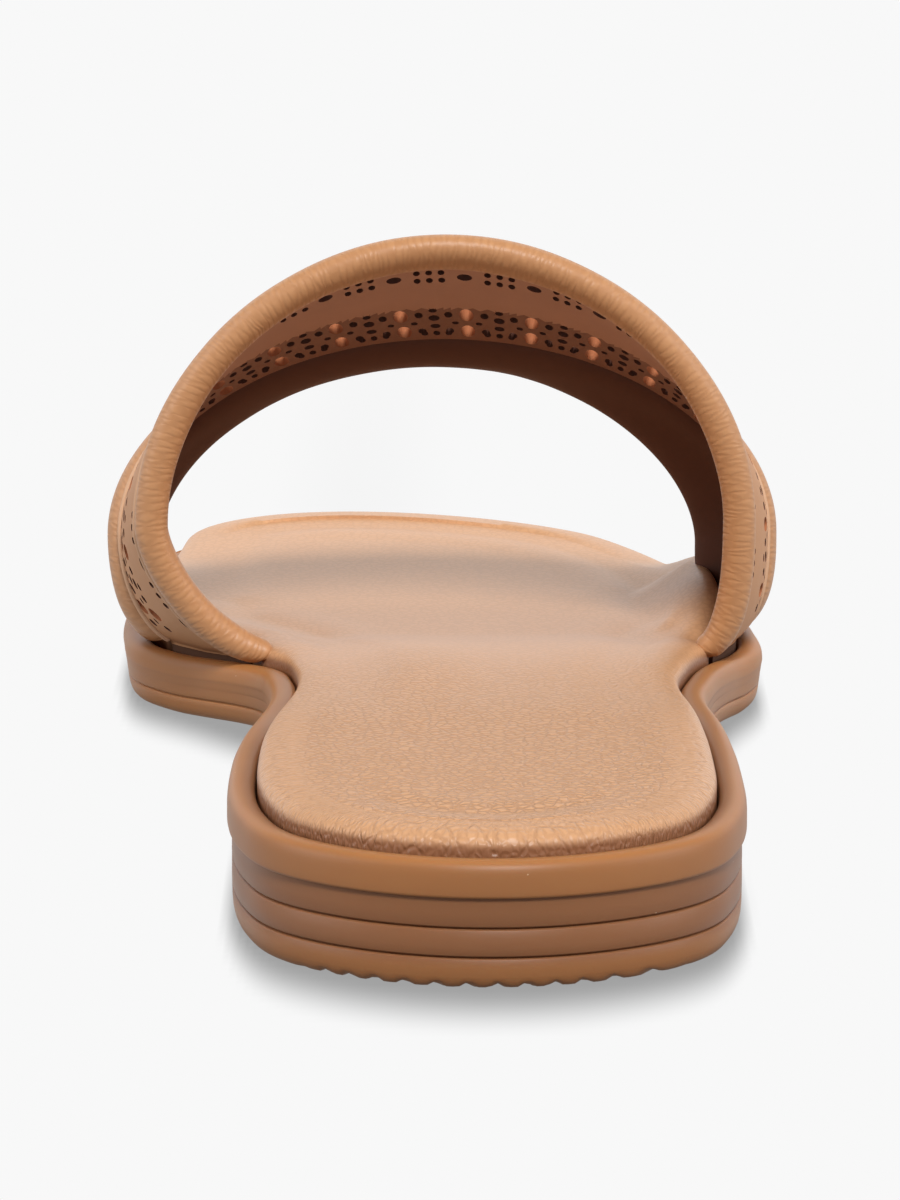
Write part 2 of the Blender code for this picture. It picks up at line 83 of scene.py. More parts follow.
# Sizes of the strap
STRAP_REAR_HEIGHT = 70.8 * MM
STRAP_FRONT_HEIGHT = 47.8 * MM
STRAP_WALL = 2.0 * MM
TUCK_DEPTH = 2.6 * MM
FOOT_LIFT = 1.7 * MM
FOOT_BEND = 1.5 * MM
REAR_EDGE_THICKNESS = 4.6 * MM
FRONT_EDGE_THICKNESS = 5.8 * MM
EDGE_TAPER = 9.0 * MM
EDGE_TIP = 0.70
TIP_CLEAR = 0.5 * MM
TIP_ROUND = 2.2 * MM
TIP_CLOSED = 0.12
LINING_TURN = 0.3
HOLE_LENGTH = 5.4 * MM
HOLE_WIDTH = 2.1 * MM
HOLE_PITCH = 9.2 * MM
HOLE_MARGIN = 5.0 * MM
HOLE_ROWS = (0.64, 0.87)
LACE_START = 0.55
REAR_SEAM = 0.16
FRONT_SEAM = 0.76
REAR_WELT = 0.040
FRONT_WELT = 0.966
PANEL_END = 0.035
FOOT_TURN = math.radians(82.0)

# Mesh steps
SOLE_STEPS = 480
SOLE_ACROSS = 150
FOOTBED_STEPS = 480
FOOTBED_ACROSS = 80
SECTION_STEPS = 180
ROLL_STEPS = 420
ROLL_SIDES = 40
HOLE_SIDES = 16
PANEL_ROWS = 29
PANEL_COLUMNS = 150
PANEL_END_COLUMNS = 12
SURFACE_ROWS = 61
SURFACE_COLUMNS = 801
WELT_STEPS = 400
WELT_SIDES = 16
SHADOW_STEPS = 1441

# Sole outline from heel to toe.  along: share of the length.  centre: shift
# to the outer side, as a share of the ball width.  heel, waist, ball: how
# much of each width the fullness takes; half width = fullness x sin(turn).
OUTLINE_COLUMNS = ("along", "centre", "heel", "waist", "ball")
OUTLINE = (
    (0.000, 0.008, 0.970, 0.000, 0.000),
    (0.042, 0.008, 0.930, 0.000, 0.000),
    (0.100, 0.006, 0.797, 0.000, 0.000),
    (0.179, 0.003, 0.659, 0.000, 0.000),
    (0.258, 0.003, 0.572, 0.000, 0.000),
    (0.357, 0.008, 0.200, 0.320, 0.000),
    (0.456, 0.010, 0.000, 0.493, 0.000),
    (0.500, 0.013, 0.000, 0.508, 0.000),
    (0.540, 0.012, 0.000, 0.460, 0.049),
    (0.595, -0.017, 0.000, 0.100, 0.355),
    (0.651, -0.048, 0.000, 0.000, 0.512),
    (0.714, -0.065, 0.000, 0.000, 0.553),
    (0.794, -0.080, 0.000, 0.000, 0.597),
    (0.853, -0.096, 0.000, 0.000, 0.641),
    (0.903, -0.124, 0.000, 0.000, 0.695),
    (0.948, -0.162, 0.000, 0.000, 0.775),
    (0.976, -0.190, 0.000, 0.000, 0.805),
    (1.000, -0.215, 0.000, 0.000, 0.815),
)

# Lift of the underside and height of the rim along the length.  arch and
# spring are shares of ARCH_RISE and TOE_SPRING; heel and ball say how much
# of each side height the rim has above that lift.
HEIGHT_COLUMNS = ("along", "arch", "spring", "heel", "ball")
HEIGHTS = (
    (0.00, 0.00, 0.00, 1.00, 0.00),
    (0.22, 0.00, 0.00, 1.00, 0.00),
    (0.30, 0.10, 0.00, 0.92, 0.06),
    (0.38, 0.55, 0.00, 0.70, 0.16),
    (0.46, 0.95, 0.00, 0.42, 0.44),
    (0.52, 1.00, 0.00, 0.24, 0.62),
    (0.57, 0.55, 0.00, 0.12, 0.82),
    (0.62, 0.00, 0.00, 0.03, 0.97),
    (0.68, 0.00, 0.00, 0.00, 1.00),
    (0.76, 0.00, 0.00, 0.00, 1.00),
    (0.84, 0.00, 0.18, 0.00, 0.96),
    (0.92, 0.00, 0.52, 0.00, 0.92),
    (1.00, 0.00, 1.00, 0.00, 0.88),
)

# Side of the sole from the underside over the two grooves and the lip to
# the recess: inset and up at the heel, then inset and up at the forefoot.
# inset: from the widest line, in mm; up: share of the side.
SIDE = (
    (2.10, 0.000, 2.30, 0.000),
    (1.62, 0.004, 1.75, 0.008),
    (1.28, 0.014, 1.35, 0.024),
    (1.02, 0.034, 1.05, 0.060),
    (0.82, 0.062, 0.82, 0.110),
    (0.69, 0.098, 0.68, 0.165),
    (0.62, 0.150, 0.58, 0.230),
    (0.60, 0.229, 0.50, 0.305),
    (0.70, 0.235, 0.54, 0.312),
    (0.98, 0.239, 0.66, 0.320),
    (1.05, 0.245, 0.72, 0.330),
    (0.98, 0.251, 0.64, 0.342),
    (0.66, 0.257, 0.47, 0.352),
    (0.58, 0.266, 0.43, 0.364),
    (0.58, 0.330, 0.36, 0.430),
    (0.60, 0.454, 0.30, 0.505),
    (0.70, 0.461, 0.29, 0.512),
    (0.98, 0.466, 0.28, 0.520),
    (1.05, 0.472, 0.27, 0.530),
    (0.98, 0.478, 0.25, 0.540),
    (0.66, 0.484, 0.23, 0.550),
    (0.58, 0.494, 0.21, 0.560),
    (0.60, 0.600, 0.15, 0.610),
    (0.66, 0.690, 0.10, 0.655),
    (0.64, 0.706, 0.06, 0.680),
    (0.22, 0.714, 0.02, 0.700),
    (0.06, 0.722, 0.00, 0.720),
    (0.00, 0.740, 0.00, 0.745),
    (0.00, 0.800, 0.01, 0.780),
    (0.01, 0.860, 0.05, 0.825),
    (0.06, 0.902, 0.13, 0.868),
    (0.18, 0.935, 0.28, 0.910),
    (0.38, 0.962, 0.52, 0.948),
    (0.70, 0.983, 0.86, 0.976),
    (1.10, 0.995, 1.30, 0.994),
    (1.60, 1.000, 1.80, 1.000),
    (2.20, 0.999, 2.30, 0.999),
    (2.80, 0.992, 2.85, 0.990),
    (3.25, 0.978, 3.25, 0.970),
    (3.50, 0.955, 3.50, 0.935),
)
SIDE_CHANGE = (0.34, 0.58)

# How much of the darker side colour each row has, as painted shade and
# painted light: the two upper bands are deepest, painted shade on the side
# below the lip; the lowest band is a little lighter, painted light from the
# floor; the lip is bright, and the rim deepens again towards the footbed,
# painted shade beside it
SHADE_ROWS = (0, 6, 7, 24, 25, 31, 33, 35, 38, 40)
SHADE_SHARES = (0.60, 0.50, 1.0, 1.0, 0.40, 0.40, 0.0, 0.0, 0.8, 1.0)

# Cushioned top of the footbed.  inset: from the footbed's side, in mm; up:
# share of the rise above the rim.
CUSHION_COLUMNS = ("inset", "up")
CUSHION = (
    (0.00, 0.25),
    (0.10, 0.37),
    (0.26, 0.47),
    (0.50, 0.57),
    (0.88, 0.66),
    (1.40, 0.74),
    (2.10, 0.80),
    (3.00, 0.84),
    (4.20, 0.87),
    (6.00, 0.88),
    (9.00, 0.88),
    (12.0, 0.89),
    (13.2, 0.95),
    (14.6, 1.00),
    (22.0, 1.00),
)
CUSHION_RINGS = 10
CUSHION_FLAT = 14 * MM
CUSHION_START = 0.2
EDGE_RING = 3
FOOTBED_CHAMFER = 0.6 * MM

# Where the strap's feet start and stop to push the footbed in, past their
# rear and front, as shares of the sole's length
NOTCH_REAR = (-0.014, -0.002)
NOTCH_FRONT = (0.004, 0.030)

# The leather climbs the inside of the strap's legs and hides the toe's rim
CLIMB_INNER = 1.6 * MM
CLIMB_OUTER = 6.5 * MM
CLIMB_WIDTH = 12.0 * MM
TOE_LIFT = 0.35 * MM
TOE_DROP = 1.1 * MM

# Sections of the strap from its rear edge to its front edge.  across: share
# of the strap's width.  foot_in, foot_out, top: where the inner foot, the
# outer foot and the crown lie, as shares of the sole's length.  reach_in,
# reach_out: widest places, as shares of the ball width.  wide_up: height of
# the widest place, as a share of the section's height.  height: 1 is the
# rear height and 0 the front height.  round: 2 is an ellipse.  full_in,
# full_out: how long each side stays full before it draws in to its foot.
STRAP_COLUMNS = ("across", "foot_in", "foot_out", "top", "reach_in",
                 "reach_out", "wide_up", "height", "round", "full_in",
                 "full_out")
STRAP = (
    (0.00, 0.565, 0.585, 0.541, -0.490, 0.388, 0.425, 1.000, 1.95, 0.75, 1.25),
    (0.16, 0.583, 0.603, 0.569, -0.514, 0.403, 0.430, 0.845, 1.96, 0.78, 1.25),
    (0.45, 0.613, 0.637, 0.622, -0.536, 0.427, 0.440, 0.540, 2.00, 0.85, 1.25),
    (0.76, 0.647, 0.675, 0.682, -0.550, 0.438, 0.460, 0.215, 1.97, 0.95, 1.25),
    (0.88, 0.666, 0.703, 0.703, -0.552, 0.431, 0.460, 0.100, 1.95, 1.00, 1.25),
    (1.00, 0.690, 0.735, 0.724, -0.515, 0.344, 0.420, 0.000, 1.80, 1.10, 1.25),
)

# Punched holes of one repeat: half, asides, across, wide and long.  half: 0
# in line with the large holes and 0.5 between them; asides: where the holes
# of a row lie along the strap, in mm; across: share of the panel's width;
# wide, long: size along and across the strap, in mm.
ALONE = (0.0,)
THREE = (-1.75, 0.0, 1.75)
PUNCHES = (
    (0.0, ALONE, 0.120, 2.2, 2.8),
    (0.5, THREE, 0.060, 1.0, 2.2),
    (0.5, THREE, 0.165, 1.0, 2.2),
    (0.0, (-2.6, 2.6), 0.640, 1.2, 2.6),
    (0.5, ALONE, 0.580, 1.2, 1.8),
    (0.5, ALONE, 0.685, 1.6, 2.6),
    (0.0, (-1.7, 1.7), 0.755, 1.0, 1.4),
    (0.5, ALONE, 0.800, 1.5, 2.0),
    (0.0, (-2.6, 2.6), 0.870, 1.2, 2.6),
    (0.5, THREE, 0.905, 1.0, 2.2),
)

# Material slots of the perforated panel
FACE, LINING, CUT_EDGE, SHADED_LACE, PUNCH_EDGE, SHADED_FOOT = range(6)

# Where the footbed's grain changes: in from its side, and along the frame
EDGE_GRAIN = (10 * MM, 5.5 * MM)
HEEL_GRAIN = (-30 * MM, -70 * MM)
FLAT_GRAIN = (-60 * MM, 20 * MM)
# Painted shade beside the rim: full up to the first inset, gone by the second
SEAM_SHADE = (1.0 * MM, 2.6 * MM)
FAR_FROM_EDGE = 30 * MM

# Settings that several nodes share
SOFT = {"interpolation_type": "SMOOTHSTEP"}
COLOURS = {"data_type": "RGBA"}

# The camera, from behind the heel
CAMERA_PLACE = (1.02 * MM, -905.2 * MM, 203.6 * MM)
CAMERA_DOWN = math.radians(11.3)
CAMERA_LENS = 201.0
CAMERA_SENSOR = 36.0


def linear(code):
    """Linear RGB of an sRGB hex colour."""
    parts = [int(code[i:i + 2], 16) / 255 for i in (1, 3, 5)]
    return tuple(part / 12.92 if part <= 0.04045
                 else ((part + 0.055) / 1.055)**2.4 for part in parts)


def colour_choice(name, description, code):
    """A colour that the user can change."""
    return bpy.props.FloatVectorProperty(
        name=name, description=description, subtype="COLOR", size=3,
        min=0.0, max=1.0, default=linear(code))


def length_choice(name, description, size):
    """A length that the user can change."""
    return bpy.props.FloatProperty(
        name=name, description=description, unit="LENGTH", precision=5,
        min=0.0, default=size)


class SoleLook(bpy.types.PropertyGroup):
    """Finish of the moulded sole."""
    rubber: colour_choice("Rubber", "Colour of the rim and the lip", "#A06A3C")
    # Painted shade: the side wall colour darkens the rubber where less light
    # falls
    wall: colour_choice("Side wall", "Colour of the side below the lip",
                        "#7E5233")
    speck: colour_choice("Specks", "Dust that clings to the rubber", "#D8BEA0")
    tread_pitch: length_choice("Tread pitch", "Distance between tread ribs",
                               3.6 * MM)
    tread_depth: length_choice("Tread depth", "Depth between tread ribs",
                               0.55 * MM)


class FootbedLook(bpy.types.PropertyGroup):
    """Finish of the padded footbed."""
    leather: colour_choice("Leather", "Colour of the footbed's leather",
                           "#C6966E")
    crease: colour_choice("Creases", "Colour in the grain's creases",
                          "#A87B58")
    # Painted shade: the seam colour darkens the leather beside the rim
    seam: colour_choice("Seam", "Colour of the edge beside the rim", "#85573A")
    pebble: length_choice("Pebble", "Width of a pebble of the grain", 1.2 * MM)


class StrapLook(bpy.types.PropertyGroup):
    """Finish of the strap."""
    roll: colour_choice("Roll leather", "Colour of the padded edges",
                        "#B98559")
    roll_crease: colour_choice("Roll creases", "Colour in the rolls' creases",
                               "#A8744A")
    panel: colour_choice("Panel nubuck", "Colour of the perforated panel",
                         "#C49068")
    welt: colour_choice("Raised seams", "Colour of the raised seams",
                        "#D2A684")
    lining: colour_choice("Lining", "Colour of the strap's inside", "#B88A72")
    # Painted shade: the hem lining is dark where the front edge's inside lies in
    # shade
    shaded_hem: colour_choice("Hem lining", "Colour inside the front edge",
                       "#5E3A2C")
    # Painted shade: the lining behind the lace band is darker than behind the
    # plain band
    lace: colour_choice("Lace lining", "Lining behind the lace pattern",
                        "#865C48")
    # Painted shade: a dark colour on the panel's face where it dives into the
    # sole
    foot: colour_choice("Glued foot", "Leather that dives into the sole",
                        "#5C3C2A")
    cut_edge: colour_choice("Cut edge", "Raw leather in the large holes",
                            "#AE6E4A")
    punch: colour_choice("Punched holes", "Scorched edge of the small holes",
                         "#603C30")
    welt_width: length_choice("Welt width", "Width of the raised seams",
                              1.3 * MM)
    welt_height: length_choice("Welt height", "Rise of the raised seams",
                               0.5 * MM)


class StageLook(bpy.types.PropertyGroup):
    """Floor and light."""
    glow: bpy.props.FloatProperty(
        name="Glow", description="Strength of the light through the table",
        min=0.0, default=0.939)
    sky: bpy.props.FloatProperty(
        name="Sky", description="Strength of the light from all round",
        min=0.0, default=0.27)
    wall: bpy.props.FloatProperty(
        name="Backdrop", description="Strength of the lit backdrop",
        min=0.0, default=1.3)
    lamp: bpy.props.FloatProperty(
        name="Key light", description="Strength of the light from above",
        min=0.0, default=3.05)
    side: bpy.props.FloatProperty(
        name="Side light", description="Strength of the light from each side",
        min=0.0, default=1.25)
    shadow: bpy.props.FloatProperty(
        name="Contact shadow", description="Light left beside the shoe",
        min=0.0, max=1.0, default=0.38)


def column(rows, columns, name):
    """One named column of a table as an array."""
    return np.array([row[columns.index(name)] for row in rows])


def smooth(stations, values, at):
    """Cubic curve through a table's values, with slopes from its neighbours."""
    slopes = np.gradient(values, stations)
    at = np.clip(at, stations[0], stations[-1])
    i = np.clip(np.searchsorted(stations, at) - 1, 0, len(stations) - 2)
    step = stations[i + 1] - stations[i]
    s = (at - stations[i]) / step
    return (values[i] * (2 * s**3 - 3 * s**2 + 1)
            + values[i + 1] * (3 * s**2 - 2 * s**3)
            + slopes[i] * step * (s**3 - 2 * s**2 + s)
            + slopes[i + 1] * step * (s**3 - s**2))


def ease(low, high, at):
    """0 below low, 1 above high, and a soft change between."""
    s = np.clip((at - low) / (high - low), 0.0, 1.0)
    return s * s * (3 - 2 * s)


def span(rise, fall, at):
    """1 between a soft rise and a soft fall, and 0 outside them."""
    return ease(*rise, at) * (1 - ease(*fall, at))


def outline_value(name, along):
    """A column of the outline table at a share of the length."""
    return smooth(column(OUTLINE, OUTLINE_COLUMNS, "along"),
                  column(OUTLINE, OUTLINE_COLUMNS, name), along)


def height_value(name, along):
    """A column of the height table at a share of the length."""
    return smooth(column(HEIGHTS, HEIGHT_COLUMNS, "along"),
                  column(HEIGHTS, HEIGHT_COLUMNS, name), along)


def outline_along(turn):
    """Share of the length at a turn: 0 at the heel, pi at the toe."""
    return (1 - np.cos(turn)) / 2


def outline_point(turn):
    """Widest line of the sole: inner side from 0 to pi, outer side beyond."""
    along = outline_along(turn)
    fullness = (HEEL_WIDTH * outline_value("heel", along)
                + WAIST_WIDTH * outline_value("waist", along)
                + BALL_WIDTH * outline_value("ball", along))
    centre = BALL_WIDTH * outline_value("centre", along)
    return np.stack([centre - fullness * np.sin(turn),
                     SOLE_LENGTH * along], axis=-1)


def inset_outline(turn, inset):
    """The outline moved inwards by inset."""
    reach = 0.01
    ahead = outline_point(turn + reach) - outline_point(turn - reach)
    ahead /= np.linalg.norm(ahead, axis=-1, keepdims=True)
    inwards = np.stack([ahead[..., 1], -ahead[..., 0]], axis=-1)
    return outline_point(turn) + inwards * np.asarray(inset)[..., None]


def outline_x(y, side, inset):
    """Where the inset outline lies across at y; side is -1 inner, 1 outer."""
    turns = np.linspace(0.05, math.pi - 0.05, 240)
    line = inset_outline(-side * turns, np.full(turns.shape, inset))
    return np.interp(y, line[:, 1], line[:, 0])


def ground_lift(along):
    """Height of the underside above the ground."""
    return np.maximum(0.0, ARCH_RISE * height_value("arch", along)
                      + TOE_SPRING * height_value("spring", along))


def side_height(along):
    """Height of the sole's side, from its underside to its rim."""
    return (HEEL_HEIGHT * height_value("heel", along)
            + BALL_HEIGHT * height_value("ball", along))


def rim_height(along):
    """Height of the rim above the ground."""
    return ground_lift(along) + side_height(along)


def floor_height(along):
    """Height of the recess that the footbed lies in."""
    return ground_lift(along) + SOLE_FLOOR + FLOOR_SHARE * (
        side_height(along) - BALL_HEIGHT)


def frame_shift():
    """From the last, with the heel's rear at y = 0, to the frame."""
    low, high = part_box("sole")
    turns = np.linspace(0.0, 2 * math.pi, SOLE_STEPS)
    own = outline_point(turns)[:, 0]
    return np.array([(low.x + high.x - own.min() - own.max()) / 2, low.y, 0.0])


SHIFT = frame_shift()


def tread_lift(x, y, pitch, depth):
    """Height by which the grooves between the tread's ribs are cut in.

    Wavy ribs run lengthwise under the heel and the forefoot, inside a plain
    border that is left open at the rear of the heel.
    """
    wave_run, wave_share = 16 * MM, 0.28
    side_shift = 2 * MM
    wave = wave_share * np.sin(2 * math.pi * y / wave_run)
    phase = (x - side_shift) / pitch + wave
    groove = (0.5 + 0.5 * np.cos(2 * math.pi * phase))**3
    along = y / SOLE_LENGTH
    inner = outline_x(y.ravel(), -1, 0.0).reshape(y.shape)
    outer = outline_x(y.ravel(), 1, 0.0).reshape(y.shape)
    border = np.minimum(x - inner, outer - x)
    inside = ease(4.0 * MM, 5.5 * MM, border)
    rear = (1 - ease(0.03, 0.07, along)) * (
        1 - ease(20 * MM, 25 * MM, np.abs(x - 1 * MM)))
    patches = ((1 - ease(0.235, 0.255, along))
               + span((0.50, 0.52), (0.93, 0.95), along))
    return depth * groove * np.clip(patches * inside + rear, 0.0, 1.0)


def ring_at(turns, inset, height):
    """A closed ring of points at an inset and a height."""
    flat = inset_outline(turns, np.broadcast_to(inset, turns.shape))
    return np.column_stack([flat, np.broadcast_to(height, turns.shape)])


def rows_across(ring, steps):
    """Points on straight lines from a ring's inner to its outer side."""
    half = len(ring) // 2
    inner = ring[1:half]
    outer = ring[:half:-1]
    share = (np.arange(1, steps) / steps)[None, :, None]
    return (inner[:, None, :] * (1 - share) + outer[:, None, :] * share)


def ladder_faces(ring_start, count, row_start, steps):
    """Faces that close a ring, through rows of points across it."""
    half = count // 2

    def vertex(i, k):
        if k == 0:
            return ring_start + i
        if k == steps:
            return ring_start + (count - i) % count
        return row_start + (i - 1) * (steps - 1) + k - 1

    faces = []
    for i in range(1, half - 1):
        for k in range(steps):
            faces.append((vertex(i, k), vertex(i + 1, k),
                          vertex(i + 1, k + 1), vertex(i, k + 1)))
    for k in range(steps):
        faces.append((ring_start, vertex(1, k), vertex(1, k + 1)))
        faces.append((ring_start + half, vertex(half - 1, k + 1),
                      vertex(half - 1, k)))
    return faces


def tube_faces(levels, count):
    """Faces between stacked closed rings."""
    return [(level * count + i, level * count + (i + 1) % count,
             (level + 1) * count + (i + 1) % count, (level + 1) * count + i)
            for level in range(levels - 1) for i in range(count)]


def rod_faces(levels, count):
    """Faces of a tube with both ends closed."""
    last = (levels - 1) * count
    return tube_faces(levels, count) + [tuple(range(count)),
                                        tuple(range(last, last + count))]


def run_length(line, closed=False):
    """Distance along a line at each of its points."""
    if closed:
        line = np.vstack([line, line[:1]])
    steps = np.linalg.norm(np.diff(line, axis=0), axis=1)
    return np.concatenate([[0.0], np.cumsum(steps)])


def add_object(name, data):
    """A new object in the scene."""
    made = bpy.data.objects.new(name, data)
    bpy.context.scene.collection.objects.link(made)
    return made


def add_piece(name, points, faces, materials, corner_uv=None, slots=None,
              sharp=45.0):
    """A named object in the frame, from points in the last's own place."""
    mesh = bpy.data.meshes.new(name)
    mesh.from_pydata((np.asarray(points) + SHIFT).tolist(), [], faces)
    if corner_uv is not None:
        layer = mesh.uv_layers.new(name="Lay")
        layer.uv.foreach_set("vector", np.asarray(
            corner_uv, dtype=np.float32).ravel())
    for made in materials:
        mesh.materials.append(made)
    if slots is not None:
        mesh.polygons.foreach_set("material_index", slots)
    work = bmesh.new()
    work.from_mesh(mesh)
    bmesh.ops.recalc_face_normals(work, faces=work.faces)
    work.to_mesh(mesh)
    work.free()
    mesh.shade_smooth()
    mesh.set_sharp_from_angle(angle=math.radians(sharp))
    piece = add_object(name, mesh)
    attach(piece, BODY)
    return piece


def add_node(tree, kind, settings=None, values=None, links=None):
    """A node with its settings, its input values and its incoming links."""
    made = tree.nodes.new(kind)
    for name, value in (settings or {}).items():
        setattr(made, name, value)
    for name, value in (values or {}).items():
        made.inputs[name].default_value = value
    for name, source in (links or {}).items():
        tree.links.new(source, made.inputs[name])
    return made


def new_material(name):
    """A material and its node tree, with the Principled shader."""
    made = bpy.data.materials.new(name)
    made.use_nodes = True
    return made, made.node_tree, made.node_tree.nodes["Principled BSDF"]


def fine_grain(tree, place, size, strength, depth):
    """Normal of a skin with a fine even grain."""
    grain = add_node(tree, "ShaderNodeTexNoise",
                     values={"Scale": 1 / size, "Detail": 2.0},
                     links={"Vector": place})
    bump = add_node(tree, "ShaderNodeBump",
                    values={"Strength": strength, "Distance": depth},
                    links={"Height": grain.outputs["Fac"]})
    return bump.outputs["Normal"]


def cell_height(tree, place, scale, round_off, dimensions="3D", spread=1.0):
    """Height of rounded cells: 0 in the creases between them, 1 inside."""
    cells = add_node(tree, "ShaderNodeTexVoronoi",
                     {"feature": "DISTANCE_TO_EDGE",
                      "voronoi_dimensions": dimensions},
                     {"Scale": scale, "Randomness": spread},
                     {"Vector": place})
    height = add_node(tree, "ShaderNodeMapRange", SOFT,
                      {"From Min": 0.0, "From Max": round_off},
                      {"Value": cells.outputs["Distance"]})
    return height.outputs["Result"]


def finish_shader(tree, shader, colour, normal, values):
    """Join colour and normal to the shader and set its other values."""
    tree.links.new(colour, shader.inputs["Base Color"])
    tree.links.new(normal, shader.inputs["Normal"])
    for name, value in values.items():
        shader.inputs[name].default_value = value


def gum_rubber(look):
    """Moulded gum rubber: satin, slightly translucent, with faint clouds.

    The mould leaves an even satin skin, so light spreads softly on it and
    glances off its edges; dust clings to it as fine pale specks.
    """
    made, tree, shader = new_material("moulded_gum_rubber")
    place = add_node(tree, "ShaderNodeTexCoord").outputs["Object"]
    cloud = add_node(tree, "ShaderNodeTexNoise",
                     values={"Scale": 1 / (14 * MM), "Detail": 3.0},
                     links={"Vector": place})
    # Painted shade and light: the 'wall' attribute mixes in the darker side
    # colour
    low = add_node(tree, "ShaderNodeAttribute", {"attribute_name": "wall"})
    worn = add_node(tree, "ShaderNodeMath",
                    {"operation": "MULTIPLY_ADD", "use_clamp": True},
                    {1: 0.3, 2: -0.12}, {0: cloud.outputs["Fac"]})
    share = add_node(tree, "ShaderNodeMath",
                     {"operation": "ADD", "use_clamp": True},
                     links={0: low.outputs["Fac"], 1: worn.outputs[0]})
    body = add_node(tree, "ShaderNodeMix", COLOURS,
                    {"A": (*look.rubber, 1), "B": (*look.wall, 1)},
                    {"Factor": share.outputs[0]})
    # Specks are 0.1 to 0.2 mm wide; one cell in four of 2.6 mm holds one
    cells = add_node(tree, "ShaderNodeTexVoronoi",
                     values={"Scale": 1 / (2.6 * MM), "Randomness": 1.0},
                     links={"Vector": place})
    near = add_node(tree, "ShaderNodeMath", {"operation": "LESS_THAN"},
                    {1: 0.04}, {0: cells.outputs["Distance"]})
    pick = add_node(tree, "ShaderNodeSeparateColor",
                    links={"Color": cells.outputs["Color"]})
    chosen = add_node(tree, "ShaderNodeMath", {"operation": "GREATER_THAN"},
                      {1: 0.72}, {0: pick.outputs["Red"]})
    speck = add_node(tree, "ShaderNodeMath", {"operation": "MULTIPLY"},
                     links={0: near.outputs[0], 1: chosen.outputs[0]})
    soft = add_node(tree, "ShaderNodeMath", {"operation": "MULTIPLY"},
                    {1: 0.55}, {0: speck.outputs[0]})
    dusty = add_node(tree, "ShaderNodeMix", COLOURS,
                     {"B": (*look.speck, 1)},
                     {"Factor": soft.outputs[0], "A": body.outputs["Result"]})
    finish_shader(tree, shader, dusty.outputs["Result"],
                  fine_grain(tree, place, 0.5 * MM, 0.25, 0.03 * MM),
                  {"Roughness": 0.46, "Specular IOR Level": 0.30,
                   "Subsurface Weight": 0.22,
                   "Subsurface Radius": (1.0, 0.42, 0.2),
                   "Subsurface Scale": 2.0 * MM})
    return made


